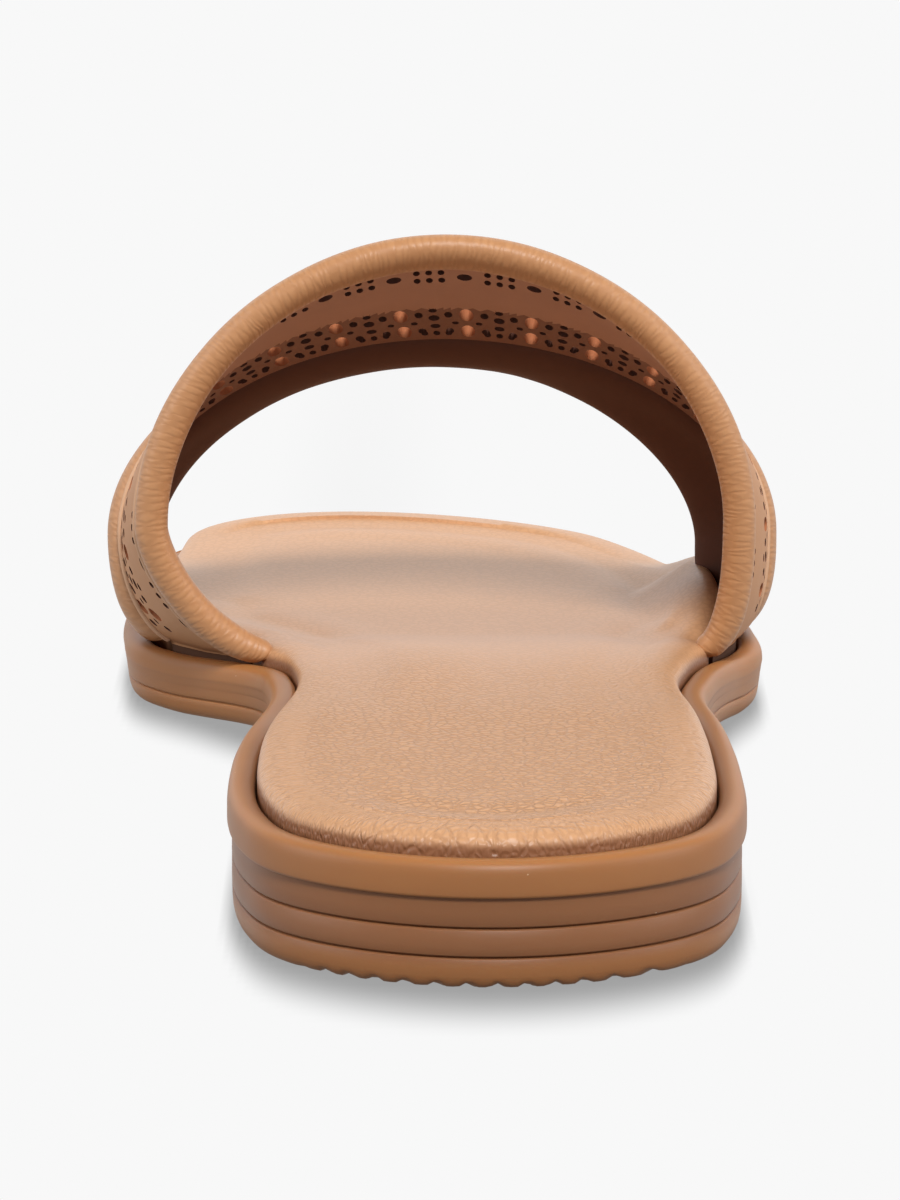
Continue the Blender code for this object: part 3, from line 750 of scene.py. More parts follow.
def pebbled_leather(look):
    """Milled leather of the footbed: soft pebbles with creases between.

    Tumbling shrinks the hide into pebbles about 1.2 mm wide.  They lie flat
    on the top and stand out where the leather is drawn over the edge of the
    heel, so the edge glitters softly and the top has an even sheen.
    """
    made, tree, shader = new_material("milled_leather_footbed")
    place = add_node(tree, "ShaderNodeTexCoord").outputs["Object"]
    lay = add_node(tree, "ShaderNodeUVMap", {"uv_map": "Lay"}).outputs["UV"]
    wobble = add_node(tree, "ShaderNodeTexNoise",
                      values={"Scale": 1 / (2.2 * MM), "Detail": 2.0},
                      links={"Vector": place})
    shifted = add_node(tree, "ShaderNodeVectorMath",
                       {"operation": "MULTIPLY_ADD"},
                       {1: (0.9 * MM, 0.9 * MM, 0.9 * MM)},
                       {0: wobble.outputs["Color"], 2: place})
    flat = cell_height(tree, shifted.outputs["Vector"], 1 / look.pebble, 0.22)
    drawn = add_node(tree, "ShaderNodeVectorMath", {"operation": "MULTIPLY_ADD"},
                     {1: (0.9 * MM, 0.9 * MM, 0.0)},
                     {0: wobble.outputs["Color"], 2: lay})
    # Along the edge the pebbles are narrower than they are tall
    slim = add_node(tree, "ShaderNodeVectorMath", {"operation": "MULTIPLY"},
                    {1: (1.05 / look.pebble, 0.72 / look.pebble, 0.0)},
                    {0: drawn.outputs["Vector"]}).outputs["Vector"]
    pebbles = cell_height(tree, slim, 1.0, 0.34, "2D", 0.85)
    # Now and then a long crease crosses the gathered edge
    crease = add_node(tree, "ShaderNodeMath", {"operation": "MULTIPLY"},
                      {1: 0.45}, {0: cell_height(tree, slim, 0.34, 0.10, "2D")})
    gathered = add_node(tree, "ShaderNodeMath", {"operation": "MULTIPLY_ADD"},
                        {1: 0.55}, {0: pebbles, 2: crease.outputs[0]})
    inset = add_node(tree, "ShaderNodeSeparateXYZ",
                     links={"Vector": lay}).outputs["Y"]
    along = add_node(tree, "ShaderNodeSeparateXYZ",
                     links={"Vector": place}).outputs["Y"]
    on_edge = add_node(tree, "ShaderNodeMapRange", SOFT,
                       {"From Min": EDGE_GRAIN[0], "From Max": EDGE_GRAIN[1]},
                       {"Value": inset})
    at_heel = add_node(tree, "ShaderNodeMapRange", SOFT,
                       {"From Min": HEEL_GRAIN[0], "From Max": HEEL_GRAIN[1]},
                       {"Value": along})
    heel_edge = add_node(tree, "ShaderNodeMath", {"operation": "MULTIPLY"},
                         links={0: on_edge.outputs["Result"],
                                1: at_heel.outputs["Result"]})
    height = add_node(tree, "ShaderNodeMix", {"data_type": "FLOAT"},
                      links={"Factor": heel_edge.outputs[0], "A": flat,
                             "B": gathered.outputs[0]}).outputs["Result"]
    # The leather is stretched flatter over the forefoot than at the heel
    depth = add_node(tree, "ShaderNodeMapRange",
                     values={"From Min": FLAT_GRAIN[0],
                             "From Max": FLAT_GRAIN[1],
                             "To Min": 0.8, "To Max": 0.096},
                     links={"Value": along})
    bump = add_node(tree, "ShaderNodeBump",
                    values={"Distance": 0.20 * MM},
                    links={"Strength": depth.outputs["Result"],
                           "Height": height,
                           "Normal": fine_grain(tree, place, 0.35 * MM, 0.3,
                                                0.02 * MM)})
    least = add_node(tree, "ShaderNodeMapRange",
                     values={"From Min": FLAT_GRAIN[0],
                             "From Max": FLAT_GRAIN[1],
                             "To Min": 0.4, "To Max": 0.7},
                     links={"Value": along})
    tint = add_node(tree, "ShaderNodeMapRange", values={"To Max": 1.0},
                    links={"Value": height, "To Min": least.outputs["Result"]})
    grained = add_node(tree, "ShaderNodeMix", COLOURS,
                       {"A": (*look.crease, 1), "B": (*look.leather, 1)},
                       {"Factor": tint.outputs["Result"]})
    # Painted shade darkens the leather where it dives down beside the rim
    unshaded = add_node(tree, "ShaderNodeMapRange", SOFT,
                     {"From Min": SEAM_SHADE[0], "From Max": SEAM_SHADE[1]},
                     {"Value": inset})
    colour = add_node(tree, "ShaderNodeMix", COLOURS,
                      {"A": (*look.seam, 1)},
                      {"Factor": unshaded.outputs["Result"],
                       "B": grained.outputs["Result"]})
    finish_shader(tree, shader, colour.outputs["Result"],
                  bump.outputs["Normal"],
                  {"Roughness": 0.40, "Specular IOR Level": 0.32, "IOR": 1.5})
    return made


def roll_leather(look):
    """Soft leather drawn round a padded cord, so it puckers across the roll.

    The puckers are about 0.9 mm apart and run round the roll; between them
    sit faint pebbles.  The finish is satin.
    """
    made, tree, shader = new_material("drawn_leather_roll")
    place = add_node(tree, "ShaderNodeTexCoord").outputs["Object"]
    lay = add_node(tree, "ShaderNodeUVMap", {"uv_map": "Lay"}).outputs["UV"]
    wobble = add_node(tree, "ShaderNodeTexNoise",
                      values={"Scale": 1 / (3.0 * MM), "Detail": 2.0},
                      links={"Vector": place})
    shifted = add_node(tree, "ShaderNodeVectorMath",
                       {"operation": "MULTIPLY_ADD"},
                       {1: (0.8 * MM, 1.2 * MM, 0.0)},
                       {0: wobble.outputs["Color"], 2: lay})
    drawn = add_node(tree, "ShaderNodeVectorMath", {"operation": "MULTIPLY"},
                     {1: (1 / (0.9 * MM), 1 / (3.4 * MM), 0.0)},
                     {0: shifted.outputs["Vector"]})
    height = cell_height(tree, drawn.outputs["Vector"], 1.0, 0.4, "2D")
    bump = add_node(tree, "ShaderNodeBump",
                    values={"Strength": 0.55, "Distance": 0.08 * MM},
                    links={"Height": height,
                           "Normal": fine_grain(tree, place, 0.4 * MM, 0.3,
                                                0.03 * MM)})
    tint = add_node(tree, "ShaderNodeMapRange",
                    values={"To Min": 0.55, "To Max": 1.0},
                    links={"Value": height})
    colour = add_node(tree, "ShaderNodeMix", COLOURS,
                      {"A": (*look.roll_crease, 1), "B": (*look.roll, 1)},
                      {"Factor": tint.outputs["Result"]})
    finish_shader(tree, shader, colour.outputs["Result"],
                  bump.outputs["Normal"], {"Roughness": 0.48, "IOR": 1.5})
    return made


def napped_leather(name, colour, roughness):
    """Nubuck or lining leather: a short nap that scatters light evenly."""
    made, tree, shader = new_material(name)
    place = add_node(tree, "ShaderNodeTexCoord").outputs["Object"]
    cloud = add_node(tree, "ShaderNodeTexNoise",
                     values={"Scale": 1 / (6 * MM), "Detail": 4.0},
                     links={"Vector": place})
    shade = tuple(0.86 * part for part in colour)
    mixed = add_node(tree, "ShaderNodeMix", COLOURS,
                     {"A": (*shade, 1), "B": (*colour, 1)},
                     {"Factor": cloud.outputs["Fac"]})
    finish_shader(tree, shader, mixed.outputs["Result"],
                  fine_grain(tree, place, 0.3 * MM, 0.4, 0.04 * MM),
                  {"Roughness": roughness, "Specular IOR Level": 0.2})
    return made


def side_row(row, change):
    """Inset and height of a row of the side; change: 0 heel, 1 forefoot."""
    heel_inset, heel_up, fore_inset, fore_up = row
    return ((heel_inset * (1 - change) + fore_inset * change) * MM,
            heel_up * (1 - change) + fore_up * change)


def build_sole(look):
    """Moulded sole with rim, side grooves and a wavy ribbed tread."""
    turns = np.arange(SOLE_STEPS) * 2 * math.pi / SOLE_STEPS
    along = outline_along(turns)
    change = ease(*SIDE_CHANGE, along)
    rings = []
    for row in SIDE:
        inset, up = side_row(row, change)
        ring = ring_at(turns, inset,
                       ground_lift(along) + up * side_height(along))
        # The rim is a little lower round the toe, where the leather hides it
        ring[:, 2] -= (TOE_DROP * ease(0.80, 0.90, along)
                       * ease(0.80, 0.95, up))
        fade = 1 - ease(0.02, 0.075, up)
        ring[:, 2] += fade * tread_lift(ring[:, 0], ring[:, 1],
                                        look.tread_pitch, look.tread_depth)
        rings.append(ring)
    rings.append(ring_at(turns, RIM_WIDTH, floor_height(along)))
    points = np.vstack(rings)
    faces = tube_faces(len(rings), SOLE_STEPS)
    lowest = ring_at(turns, side_row(SIDE[0], change)[0], ground_lift(along))
    under = rows_across(lowest, SOLE_ACROSS)
    under[..., 2] += tread_lift(under[..., 0], under[..., 1],
                                look.tread_pitch, look.tread_depth)
    faces += ladder_faces(0, SOLE_STEPS, len(points), SOLE_ACROSS)
    points = np.vstack([points, under.reshape(-1, 3)])
    top = (len(rings) - 1) * SOLE_STEPS
    faces += ladder_faces(top, SOLE_STEPS, len(points), 1)
    piece = add_piece("sole_moulding", points, faces, [gum_rubber(look)],
                      sharp=60.0)
    # Painted shade and light: each point's share of the darker side colour
    wall = np.ones(len(points))
    shade = np.interp(np.arange(len(rings)), SHADE_ROWS, SHADE_SHARES)
    # Painted light: the forefoot's side takes a quarter of the darker side
    # colour, so it is nearly as bright as the rim
    front = 1 - 0.75 * ease(0.22, 0.42, along)
    wall[:len(rings) * SOLE_STEPS] = np.outer(shade, front).ravel()
    low = piece.data.attributes.new("wall", "FLOAT", "POINT")
    low.data.foreach_set("value", wall)
    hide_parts("sole")


def strap_notch(along, hand):
    """How far the strap's feet push the footbed in; hand is -1 or 1."""
    rear = np.where(hand < 0, strap_value("foot_in", REAR_SEAM),
                    strap_value("foot_out", REAR_SEAM))
    front = np.where(hand < 0, strap_value("foot_in", 1),
                     strap_value("foot_out", 1))
    return span((rear + NOTCH_REAR[0], rear + NOTCH_REAR[1]),
                (front + NOTCH_FRONT[0], front + NOTCH_FRONT[1]), along)


def edge_climb(along, side, apart):
    """Extra height of the leather at its edge, by the distance from it."""
    inner = span((0.56, 0.62), (0.78, 0.86), along)
    outer = span((0.59, 0.70), (0.745, 0.86), along)
    toe = TOE_LIFT * ease(0.86, 0.94, along)
    strap = np.where(side < 0, CLIMB_INNER * inner, CLIMB_OUTER * outer)
    return (strap + toe) * (1 - ease(0.0, CLIMB_WIDTH, apart))


def footbed_inset(along, hand):
    """Inset of the footbed's side from the widest line of the sole."""
    return RIM_WIDTH + GAP + (STRAP_WALL + GAP) * strap_notch(along, hand)


def cushion_up(inset):
    """Height of the cushion at an inset, as a share of the rise."""
    return smooth(column(CUSHION, CUSHION_COLUMNS, "inset") * MM,
                  column(CUSHION, CUSHION_COLUMNS, "up"), inset)


def footbed_rise(along, across):
    """Rise of the footbed's top across the foot: heel cup and arch."""
    hollow = (1 - ease(0.24, 0.40, along)) * (1 - across**2)
    inwards = np.clip(-across, 0, 1)
    arch = (span((0.30, 0.44), (0.48, 0.62), along)
            * inwards * (1 - inwards) * 4)
    return FOOTBED_ARCH * arch - FOOTBED_DISH * hollow


def build_footbed(look):
    """Padded footbed: a cushion wrapped in leather, drawn over its edge."""
    turns = np.arange(FOOTBED_STEPS) * 2 * math.pi / FOOTBED_STEPS
    along = outline_along(turns)
    hand = np.where(turns < math.pi, -1, 1)
    side = footbed_inset(along, hand)
    base = floor_height(along) + GAP
    insets = column(CUSHION, CUSHION_COLUMNS, "inset")[:CUSHION_RINGS] * MM
    rings = [ring_at(turns, side + FOOTBED_CHAMFER, base),
             ring_at(turns, side, base + FOOTBED_CHAMFER),
             ring_at(turns, side,
                     rim_height(along) - CUSHION_START * FOOTBED_RISE)]
    for inset in insets:
        rings.append(ring_at(turns, side + inset, rim_height(along)
                             + cushion_up(inset) * FOOTBED_RISE
                             + edge_climb(along, hand, inset)))
    points = np.vstack(rings)
    faces = tube_faces(len(rings), FOOTBED_STEPS)
    lay = edge_lay(rings, turns)
    start = (len(rings) - 1) * FOOTBED_STEPS
    top = rows_across(rings[-1], FOOTBED_ACROSS)
    flat = top.reshape(-1, 3)
    edge = rings[EDGE_RING][:, :2]
    apart = np.array([np.linalg.norm(edge - point[:2], axis=1).min()
                      for point in flat])
    share = np.tile(np.arange(1, FOOTBED_ACROSS) / FOOTBED_ACROSS,
                    len(top)) * 2 - 1
    at = flat[:, 1] / SOLE_LENGTH
    lift = footbed_rise(at, share) * ease(insets[-1], CUSHION_FLAT, apart)
    flat[:, 2] = (rim_height(at) + cushion_up(apart) * FOOTBED_RISE + lift
                  + edge_climb(at, share, apart))
    closing = ladder_faces(start, FOOTBED_STEPS, len(points), FOOTBED_ACROSS)
    points = np.vstack([points, flat])
    closing += ladder_faces(0, FOOTBED_STEPS, len(points), 1)
    far = np.tile([0.0, FAR_FROM_EDGE], (sum(map(len, closing)), 1))
    piece = add_piece("footbed_pad", points, faces + closing,
                      [pebbled_leather(look)],
                      corner_uv=np.vstack([lay, far]), sharp=60.0)
    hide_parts("footbed")


def edge_lay(rings, turns):
    """How the leather lies round the edge: along it and in from it.

    The leather is gathered at the corners of the heel, so the distance
    along the edge runs faster there.
    """
    heel_corner = 0.42
    corner_width = 0.16
    gather = 1.4
    run = run_length(rings[EDGE_RING][:, :2], closed=True)
    middle = turns + math.pi / len(turns)
    corner = sum(np.exp(-((middle - at) / corner_width)**2)
                 for at in (heel_corner, 2 * math.pi - heel_corner))
    gathered = np.concatenate([[0.0], np.cumsum(
        np.diff(run) * (1 + gather * corner))])
    depth = np.vstack([np.zeros(len(turns))] + [
        np.linalg.norm(rings[i + 1] - rings[i], axis=1)
        for i in range(len(rings) - 1)]).cumsum(axis=0)
    # The way in from the edge starts beside the rim
    depth -= depth[EDGE_RING - 1]
    count = len(turns)
    lay = []
    for level in range(len(rings) - 1):
        for i in range(count):
            j = (i + 1) % count
            lay += [(gathered[i], depth[level, i]),
                    (gathered[i + 1], depth[level, j]),
                    (gathered[i + 1], depth[level + 1, j]),
                    (gathered[i], depth[level + 1, i])]
    return np.array(lay)


def strap_value(name, across):
    """A column of the strap table, from 0 at the rear edge to 1 in front."""
    return float(smooth(column(STRAP, STRAP_COLUMNS, "across"),
                        column(STRAP, STRAP_COLUMNS, name),
                        np.array(across)))


def strap_foot(across, side):
    """Where the strap's wall meets the rim: a point above the slot."""
    name = "foot_in" if side < 0 else "foot_out"
    y = SOLE_LENGTH * strap_value(name, across)
    x = outline_x(y, side, RIM_WIDTH + GAP + STRAP_WALL / 2)
    z = float(rim_height(np.array(y / SOLE_LENGTH))) + FOOT_LIFT
    return np.array([x, y, z])


def foot_bend(foot, before):
    """Points that turn the wall from its slope straight down into the slot."""
    away = (before - foot) / np.linalg.norm(before - foot)
    start = foot + away * FOOT_BEND
    end = foot - np.array([0.0, 0.0, FOOT_BEND])
    bottom = foot - np.array([0.0, 0.0, TUCK_DEPTH + FOOT_LIFT])
    shares = np.linspace(0.0, 1.0, 12)[:, None]
    bend = ((1 - shares)**2 * start + 2 * shares * (1 - shares) * foot
            + shares**2 * end)
    return np.vstack([bend, bottom])


def strap_section(across):
    """Middle line of the strap's wall, from inner foot to outer foot."""
    inner, outer = strap_foot(across, -1), strap_foot(across, 1)
    height = (STRAP_FRONT_HEIGHT
              + (STRAP_REAR_HEIGHT - STRAP_FRONT_HEIGHT)
              * strap_value("height", across))
    wide = height * strap_value("wide_up", across)
    reach_in = BALL_WIDTH * strap_value("reach_in", across)
    reach_out = BALL_WIDTH * strap_value("reach_out", across)
    top = SOLE_LENGTH * strap_value("top", across)
    middle, half = (reach_in + reach_out) / 2, (reach_out - reach_in) / 2
    turn = np.linspace(0.0, math.pi, SECTION_STEPS)
    power = 2 / strap_value("round", across)
    swing = np.sin(turn)
    upper = np.column_stack([
        middle - half * np.sign(np.cos(turn)) * np.abs(np.cos(turn))**power,
        np.zeros_like(turn),
        wide + (height - wide) * swing**power])
    bend = np.linspace(FOOT_TURN, 0.0, SECTION_STEPS // 4)[:-1]
    lower = []
    for foot, reach, full in ((inner, reach_in, "full_in"),
                              (outer, reach_out, "full_out")):
        share = ((1 - np.cos(bend)) / (1 - math.cos(FOOT_TURN)))**(
            strap_value(full, across))
        drop = np.sin(bend) / math.sin(FOOT_TURN)
        lower.append(np.column_stack([
            reach + (foot[0] - reach) * share, np.zeros_like(bend),
            wide + (foot[2] - wide) * drop]))
    line = np.vstack([lower[0], upper, lower[1][::-1]])
    run = np.linspace(0.0, 1.0, len(line))
    feet_y = inner[1] + (outer[1] - inner[1]) * run
    lean = (line[:, 2] - inner[2]) / (height - inner[2])
    line[:, 1] = feet_y + (top - feet_y) * np.clip(lean, 0.0, 1.0)
    clear = np.minimum(np.linalg.norm(line - inner, axis=1),
                       np.linalg.norm(line - outer, axis=1)) > FOOT_BEND
    line = line[clear]
    return np.vstack([foot_bend(inner, line[0])[::-1], line,
                      foot_bend(outer, line[-1])])


def strap_line(across, shares):
    """Points on the strap's middle line at shares of its arc length."""
    section = strap_section(across)
    run = run_length(section)
    return np.column_stack([np.interp(shares * run[-1], run, section[:, k])
                            for k in range(3)])


def strap_length(across):
    """Arc length of the strap's middle line."""
    return float(run_length(strap_section(across))[-1])


def strap_frame(across, shares):
    """Points of the strap, its outward normals and its forward direction."""
    reach = 0.02
    step = 0.004
    low, high = max(0.0, across - reach), min(1.0, across + reach)
    forward = strap_line(high, shares) - strap_line(low, shares)
    forward /= np.linalg.norm(forward, axis=1, keepdims=True)
    ahead = (strap_line(across, np.minimum(1.0, shares + step))
             - strap_line(across, np.maximum(0.0, shares - step)))
    ahead /= np.linalg.norm(ahead, axis=1, keepdims=True)
    normal = np.cross(ahead, forward)
    normal /= np.linalg.norm(normal, axis=1, keepdims=True)
    return strap_line(across, shares), normal, forward


def panel_across(share):
    """Share of the strap's width at a share of the panel's width."""
    return REAR_SEAM + (FRONT_SEAM - REAR_SEAM) * share


def panel_surface():
    """The panel's middle surface and normals on a fine grid."""
    widths = np.linspace(0.0, 1.0, SURFACE_ROWS)
    shares = np.linspace(0.0, 1.0, SURFACE_COLUMNS)
    lines, normals = [], []
    for width in widths:
        line, normal, _ = strap_frame(panel_across(width), shares)
        lines.append(line)
        normals.append(normal)
    return np.array(lines), np.array(normals)


def read_surface(grid, shares, widths):
    """Values of a fine grid between its points."""
    row = np.clip(widths, 0.0, 1.0) * (grid.shape[0] - 1)
    col = np.clip(shares, 0.0, 1.0) * (grid.shape[1] - 1)
    i = np.minimum(row.astype(int), grid.shape[0] - 2)
    k = np.minimum(col.astype(int), grid.shape[1] - 2)
    a, b = (row - i)[:, None], (col - k)[:, None]
    return ((grid[i, k] * (1 - b) + grid[i, k + 1] * b) * (1 - a)
            + (grid[i + 1, k] * (1 - b) + grid[i + 1, k + 1] * b) * a)


def hole_columns():
    """Shares of arc length at which the large holes lie."""
    length = min(strap_length(panel_across(row)) for row in HOLE_ROWS)
    room = length - 2 * (TUCK_DEPTH + FOOT_LIFT + HOLE_MARGIN)
    count = int(room / HOLE_PITCH)
    return 0.5 + (np.arange(count + 1) - count / 2) * HOLE_PITCH / length


def panel_holes(surface):
    """Each hole's place, as shares, and its radii, as shares."""
    columns = hole_columns()
    pitch = columns[1] - columns[0]
    margin = 0.3 * pitch
    width = np.linalg.norm(np.diff(surface, axis=0), axis=2).sum(axis=0)
    crown = width[len(width) // 2]
    holes = []
    for share in columns:
        for row in HOLE_ROWS:
            holes.append((share, row, HOLE_WIDTH / 2
                          / strap_length(panel_across(row)),
                          HOLE_LENGTH / 2 / crown))
    for half, asides, row, wide, long in PUNCHES:
        length = strap_length(panel_across(row))
        for aside in asides:
            places = columns + half * pitch + aside * MM / length
            holes += [(at, row, wide * MM / 2 / length, long * MM / 2 / crown)
                      for at in places
                      if columns[0] - margin <= at <= columns[-1] + margin]
    return holes


def build_panel(look):
    """Perforated panel: one wall with every hole punched right through."""
    surface, normals = panel_surface()
    holes = panel_holes(surface)
    # The plane in which the holes are cut has both sides in like units
    tall = 200.0
    wide = 32.0
    # Radii from a hole's centre: inside it, and where other points may lie
    within, clear = 0.97, 1.35
    ends = np.linspace(0.0, PANEL_END, PANEL_END_COLUMNS)
    shares = np.concatenate([
        ends, np.linspace(PANEL_END, 1 - PANEL_END, PANEL_COLUMNS)[1:-1],
        1 - ends[::-1]])
    rows = np.linspace(0.0, 1.0, PANEL_ROWS)
    border = ([(share, 0.0) for share in shares]
              + [(1.0, row) for row in rows[1:]]
              + [(share, 1.0) for share in shares[::-1][1:]]
              + [(0.0, row) for row in rows[::-1][1:-1]])
    places = list(border)
    edges = [(i, (i + 1) % len(border)) for i in range(len(border))]
    turns = (np.arange(HOLE_SIDES) + 0.5) * 2 * math.pi / HOLE_SIDES
    for share, row, long, cross in holes:
        start = len(places)
        places += [(share + long * math.cos(turn), row + cross * math.sin(turn))
                   for turn in turns]
        edges += [(start + i, start + (i + 1) % HOLE_SIDES)
                  for i in range(HOLE_SIDES)]
    centres = np.array([hole[:2] for hole in holes])
    radii = np.array([hole[2:] for hole in holes])

    def hole_reach(at):
        """Distance to the nearest hole in radii."""
        return np.sqrt((((centres - at) / radii)**2).sum(axis=1)).min()

    inside = [(share, row) for share in shares[1:-1] for row in rows[1:-1]
              if hole_reach((share, row)) > clear]
    places += inside
    flat = [(share * tall, row * wide) for share, row in places]
    made = geometry.delaunay_2d_cdt(flat, edges, [], 1, 1e-4)
    spots = np.array([(spot[0] / tall, spot[1] / wide) for spot in made[0]])
    tiles = [face for face in made[2]
             if hole_reach(spots[list(face)].mean(axis=0)) > within]
    middle = read_surface(surface, spots[:, 0], spots[:, 1])
    normal = read_surface(normals, spots[:, 0], spots[:, 1])
    normal /= np.linalg.norm(normal, axis=1, keepdims=True)
    count = len(spots)
    points = np.vstack([middle + normal * STRAP_WALL / 2,
                        middle - normal * STRAP_WALL / 2])
    faces = [tuple(face) for face in tiles]
    faces += [tuple(i + count for i in reversed(face)) for face in tiles]
    # Painted shade: the face's lowest part, where it dives into the sole, is
    # dark
    foot = (TUCK_DEPTH + FOOT_LIFT - 0.8 * MM) / strap_length(FRONT_SEAM)
    slots = []
    for face in tiles:
        share = spots[list(face), 0].mean()
        slots.append(SHADED_FOOT if min(share, 1 - share) < foot else FACE)
    # Painted shade: the lining behind the lace band takes the darker lace colour
    slots += [SHADED_LACE if spots[list(face), 1].mean() > LACE_START else LINING
              for face in tiles]
    large = len(HOLE_ROWS) * len(hole_columns())
    sides = dict.fromkeys((a, b) for face in tiles
                          for a, b in zip(face, face[1:] + face[:1]))
    for a, b in sides:
        if (b, a) not in sides:
            faces.append((b, a, a + count, b + count))
            reach = (((centres - (spots[a] + spots[b]) / 2) / radii)**2).sum(
                axis=1)
            slots.append(CUT_EDGE if reach.argmin() < large else PUNCH_EDGE)
    piece = add_piece(
        "perforated_panel", points, faces,
        [napped_leather("nubuck_panel", look.panel, 0.62),
         napped_leather("lining_leather", look.lining, 0.6),
         napped_leather("cut_leather_edge", look.cut_edge, 0.8),
         napped_leather("shaded_lace_lining", look.lace, 0.6),
         napped_leather("punched_hole_edge", look.punch, 0.8),
         napped_leather("shaded_foot_leather", look.foot, 0.7)],
        slots=slots, sharp=50.0)
    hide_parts("strap_panel")


def roll_shares(start):
    """Shares of arc length along a roll, closer together at its tips."""
    crowding = 0.10
    even = np.linspace(0.0, 1.0, ROLL_STEPS + 1)
    return start + (1 - 2 * start) * (
        even - crowding * np.sin(2 * math.pi * even) / math.pi)


def build_roll(name, node, free, seam, thickness, made, lining=None):
    """Padded edge of the strap: leather drawn round a soft cord.

    Where a lining is given it covers the side that faces the foot.
    """
    length = strap_length(seam)
    start = (TUCK_DEPTH + TIP_CLEAR) / length
    shares = roll_shares(start)
    reach = strap_line(free, shares) - strap_line(seam, shares)
    clear = reach / np.linalg.norm(reach, axis=1, keepdims=True) * GAP
    run = np.minimum(shares - start, 1 - start - shares) * length
    size = EDGE_TIP + (1 - EDGE_TIP) * np.sin(
        np.clip(run / EDGE_TAPER, 0.0, 1.0) * math.pi / 2)
    close = np.sqrt(1 - (1 - np.clip(run / TIP_ROUND, 0.0, 1.0))**2)
    close = TIP_CLOSED + (1 - TIP_CLOSED) * close
    turns = math.pi + np.arange(ROLL_SIDES) * 2 * math.pi / ROLL_SIDES
    along = run_length(strap_line((free + seam) / 2, shares))
    # Slow swells where the stuffing lies unevenly under the leather
    swell = 1 + 0.012 * (np.sin(along / (5.3 * MM)) + np.sin(
        along / (3.1 * MM) + 1.0))
    rings = []
    for turn in turns:
        far = (1 + math.cos(turn)) / 2
        line, normal, _ = strap_frame(seam + (free - seam) * far, shares)
        rise = math.sin(turn) * size * close * swell * thickness / 2
        rings.append(line + clear * (1 - far) + normal * rise[:, None]
                     - reach * (math.cos(turn) * (1 - close) / 2)[:, None])
    points = np.array(rings).transpose(1, 0, 2)
    girth = np.linalg.norm(np.diff(
        np.concatenate([points, points[:, :1]], axis=1), axis=1), axis=2)
    round_run = np.concatenate([np.zeros((len(points), 1)),
                                np.cumsum(girth, axis=1)], axis=1)
    lay = []
    for k in range(len(points) - 1):
        for i in range(ROLL_SIDES):
            lay += [(along[k], round_run[k, i]),
                    (along[k], round_run[k, i + 1]),
                    (along[k + 1], round_run[k + 1, i + 1]),
                    (along[k + 1], round_run[k + 1, i])]
    lay += [(0.0, 0.0)] * (2 * ROLL_SIDES)
    inner = turns + math.pi / ROLL_SIDES < 2 * math.pi + LINING_TURN
    slots = [int(face) for face in inner] * (len(points) - 1) + [0, 0]
    piece = add_piece(name, points.reshape(-1, 3),
                      rod_faces(len(points), ROLL_SIDES),
                      [made, lining] if lining else [made],
                      corner_uv=np.array(lay),
                      slots=slots if lining else None, sharp=70.0)
    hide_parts(node)


def build_welt(name, across, look, made):
    """Raised seam beside a roll: a half-round strip on the panel's face."""
    shares = np.linspace(PANEL_END, 1 - PANEL_END, WELT_STEPS)
    line, normal, forward = strap_frame(panel_across(across), shares)
    turns = np.linspace(0.0, 2 * math.pi, WELT_SIDES, endpoint=False)
    rings = []
    for turn in turns:
        rise = max(math.sin(turn) * look.welt_height, -0.1 * MM)
        rings.append(line + normal * (STRAP_WALL / 2 + rise)
                     + forward * (math.cos(turn) * look.welt_width / 2))
    points = np.array(rings).transpose(1, 0, 2)
    piece = add_piece(name, points.reshape(-1, 3),
                      rod_faces(len(points), WELT_SIDES), [made], sharp=70.0)


def table_shade(x, y):
    """Light left on the table: dim beside the sole and past its ends."""
    inset = 1.5 * MM
    reach = np.array([2.6 * MM, 24 * MM])
    turns = np.linspace(0.0, 2 * math.pi, SHADOW_STEPS)
    ring = inset_outline(turns, np.full(turns.shape, inset)) + SHIFT[:2]
    spots = np.stack([x.ravel(), y.ravel()], axis=1)
    near = np.array([np.linalg.norm((ring - spot) / reach, axis=1).min()
                     for spot in spots])
    y_last = spots[:, 1] - SHIFT[1]
    inner = outline_x(y_last, -1, inset) + SHIFT[0]
    outer = outline_x(y_last, 1, inset) + SHIFT[0]
    under = ((y_last > 1 * MM) & (y_last < SOLE_LENGTH - 1 * MM)
             & (spots[:, 0] > inner) & (spots[:, 0] < outer))
    return np.where(under, 0.0, ease(0.0, 1.0, near)).reshape(x.shape)


def lit_material(name, light):
    """A surface that only gives light, such as a diffuser lit from behind."""
    made, tree, shader = new_material(name)
    shader.inputs["Base Color"].default_value = (0.0, 0.0, 0.0, 1.0)
    shader.inputs["Specular IOR Level"].default_value = 0.0
    shader.inputs["Emission Color"].default_value = (*light, 1.0)
    return made, tree, shader


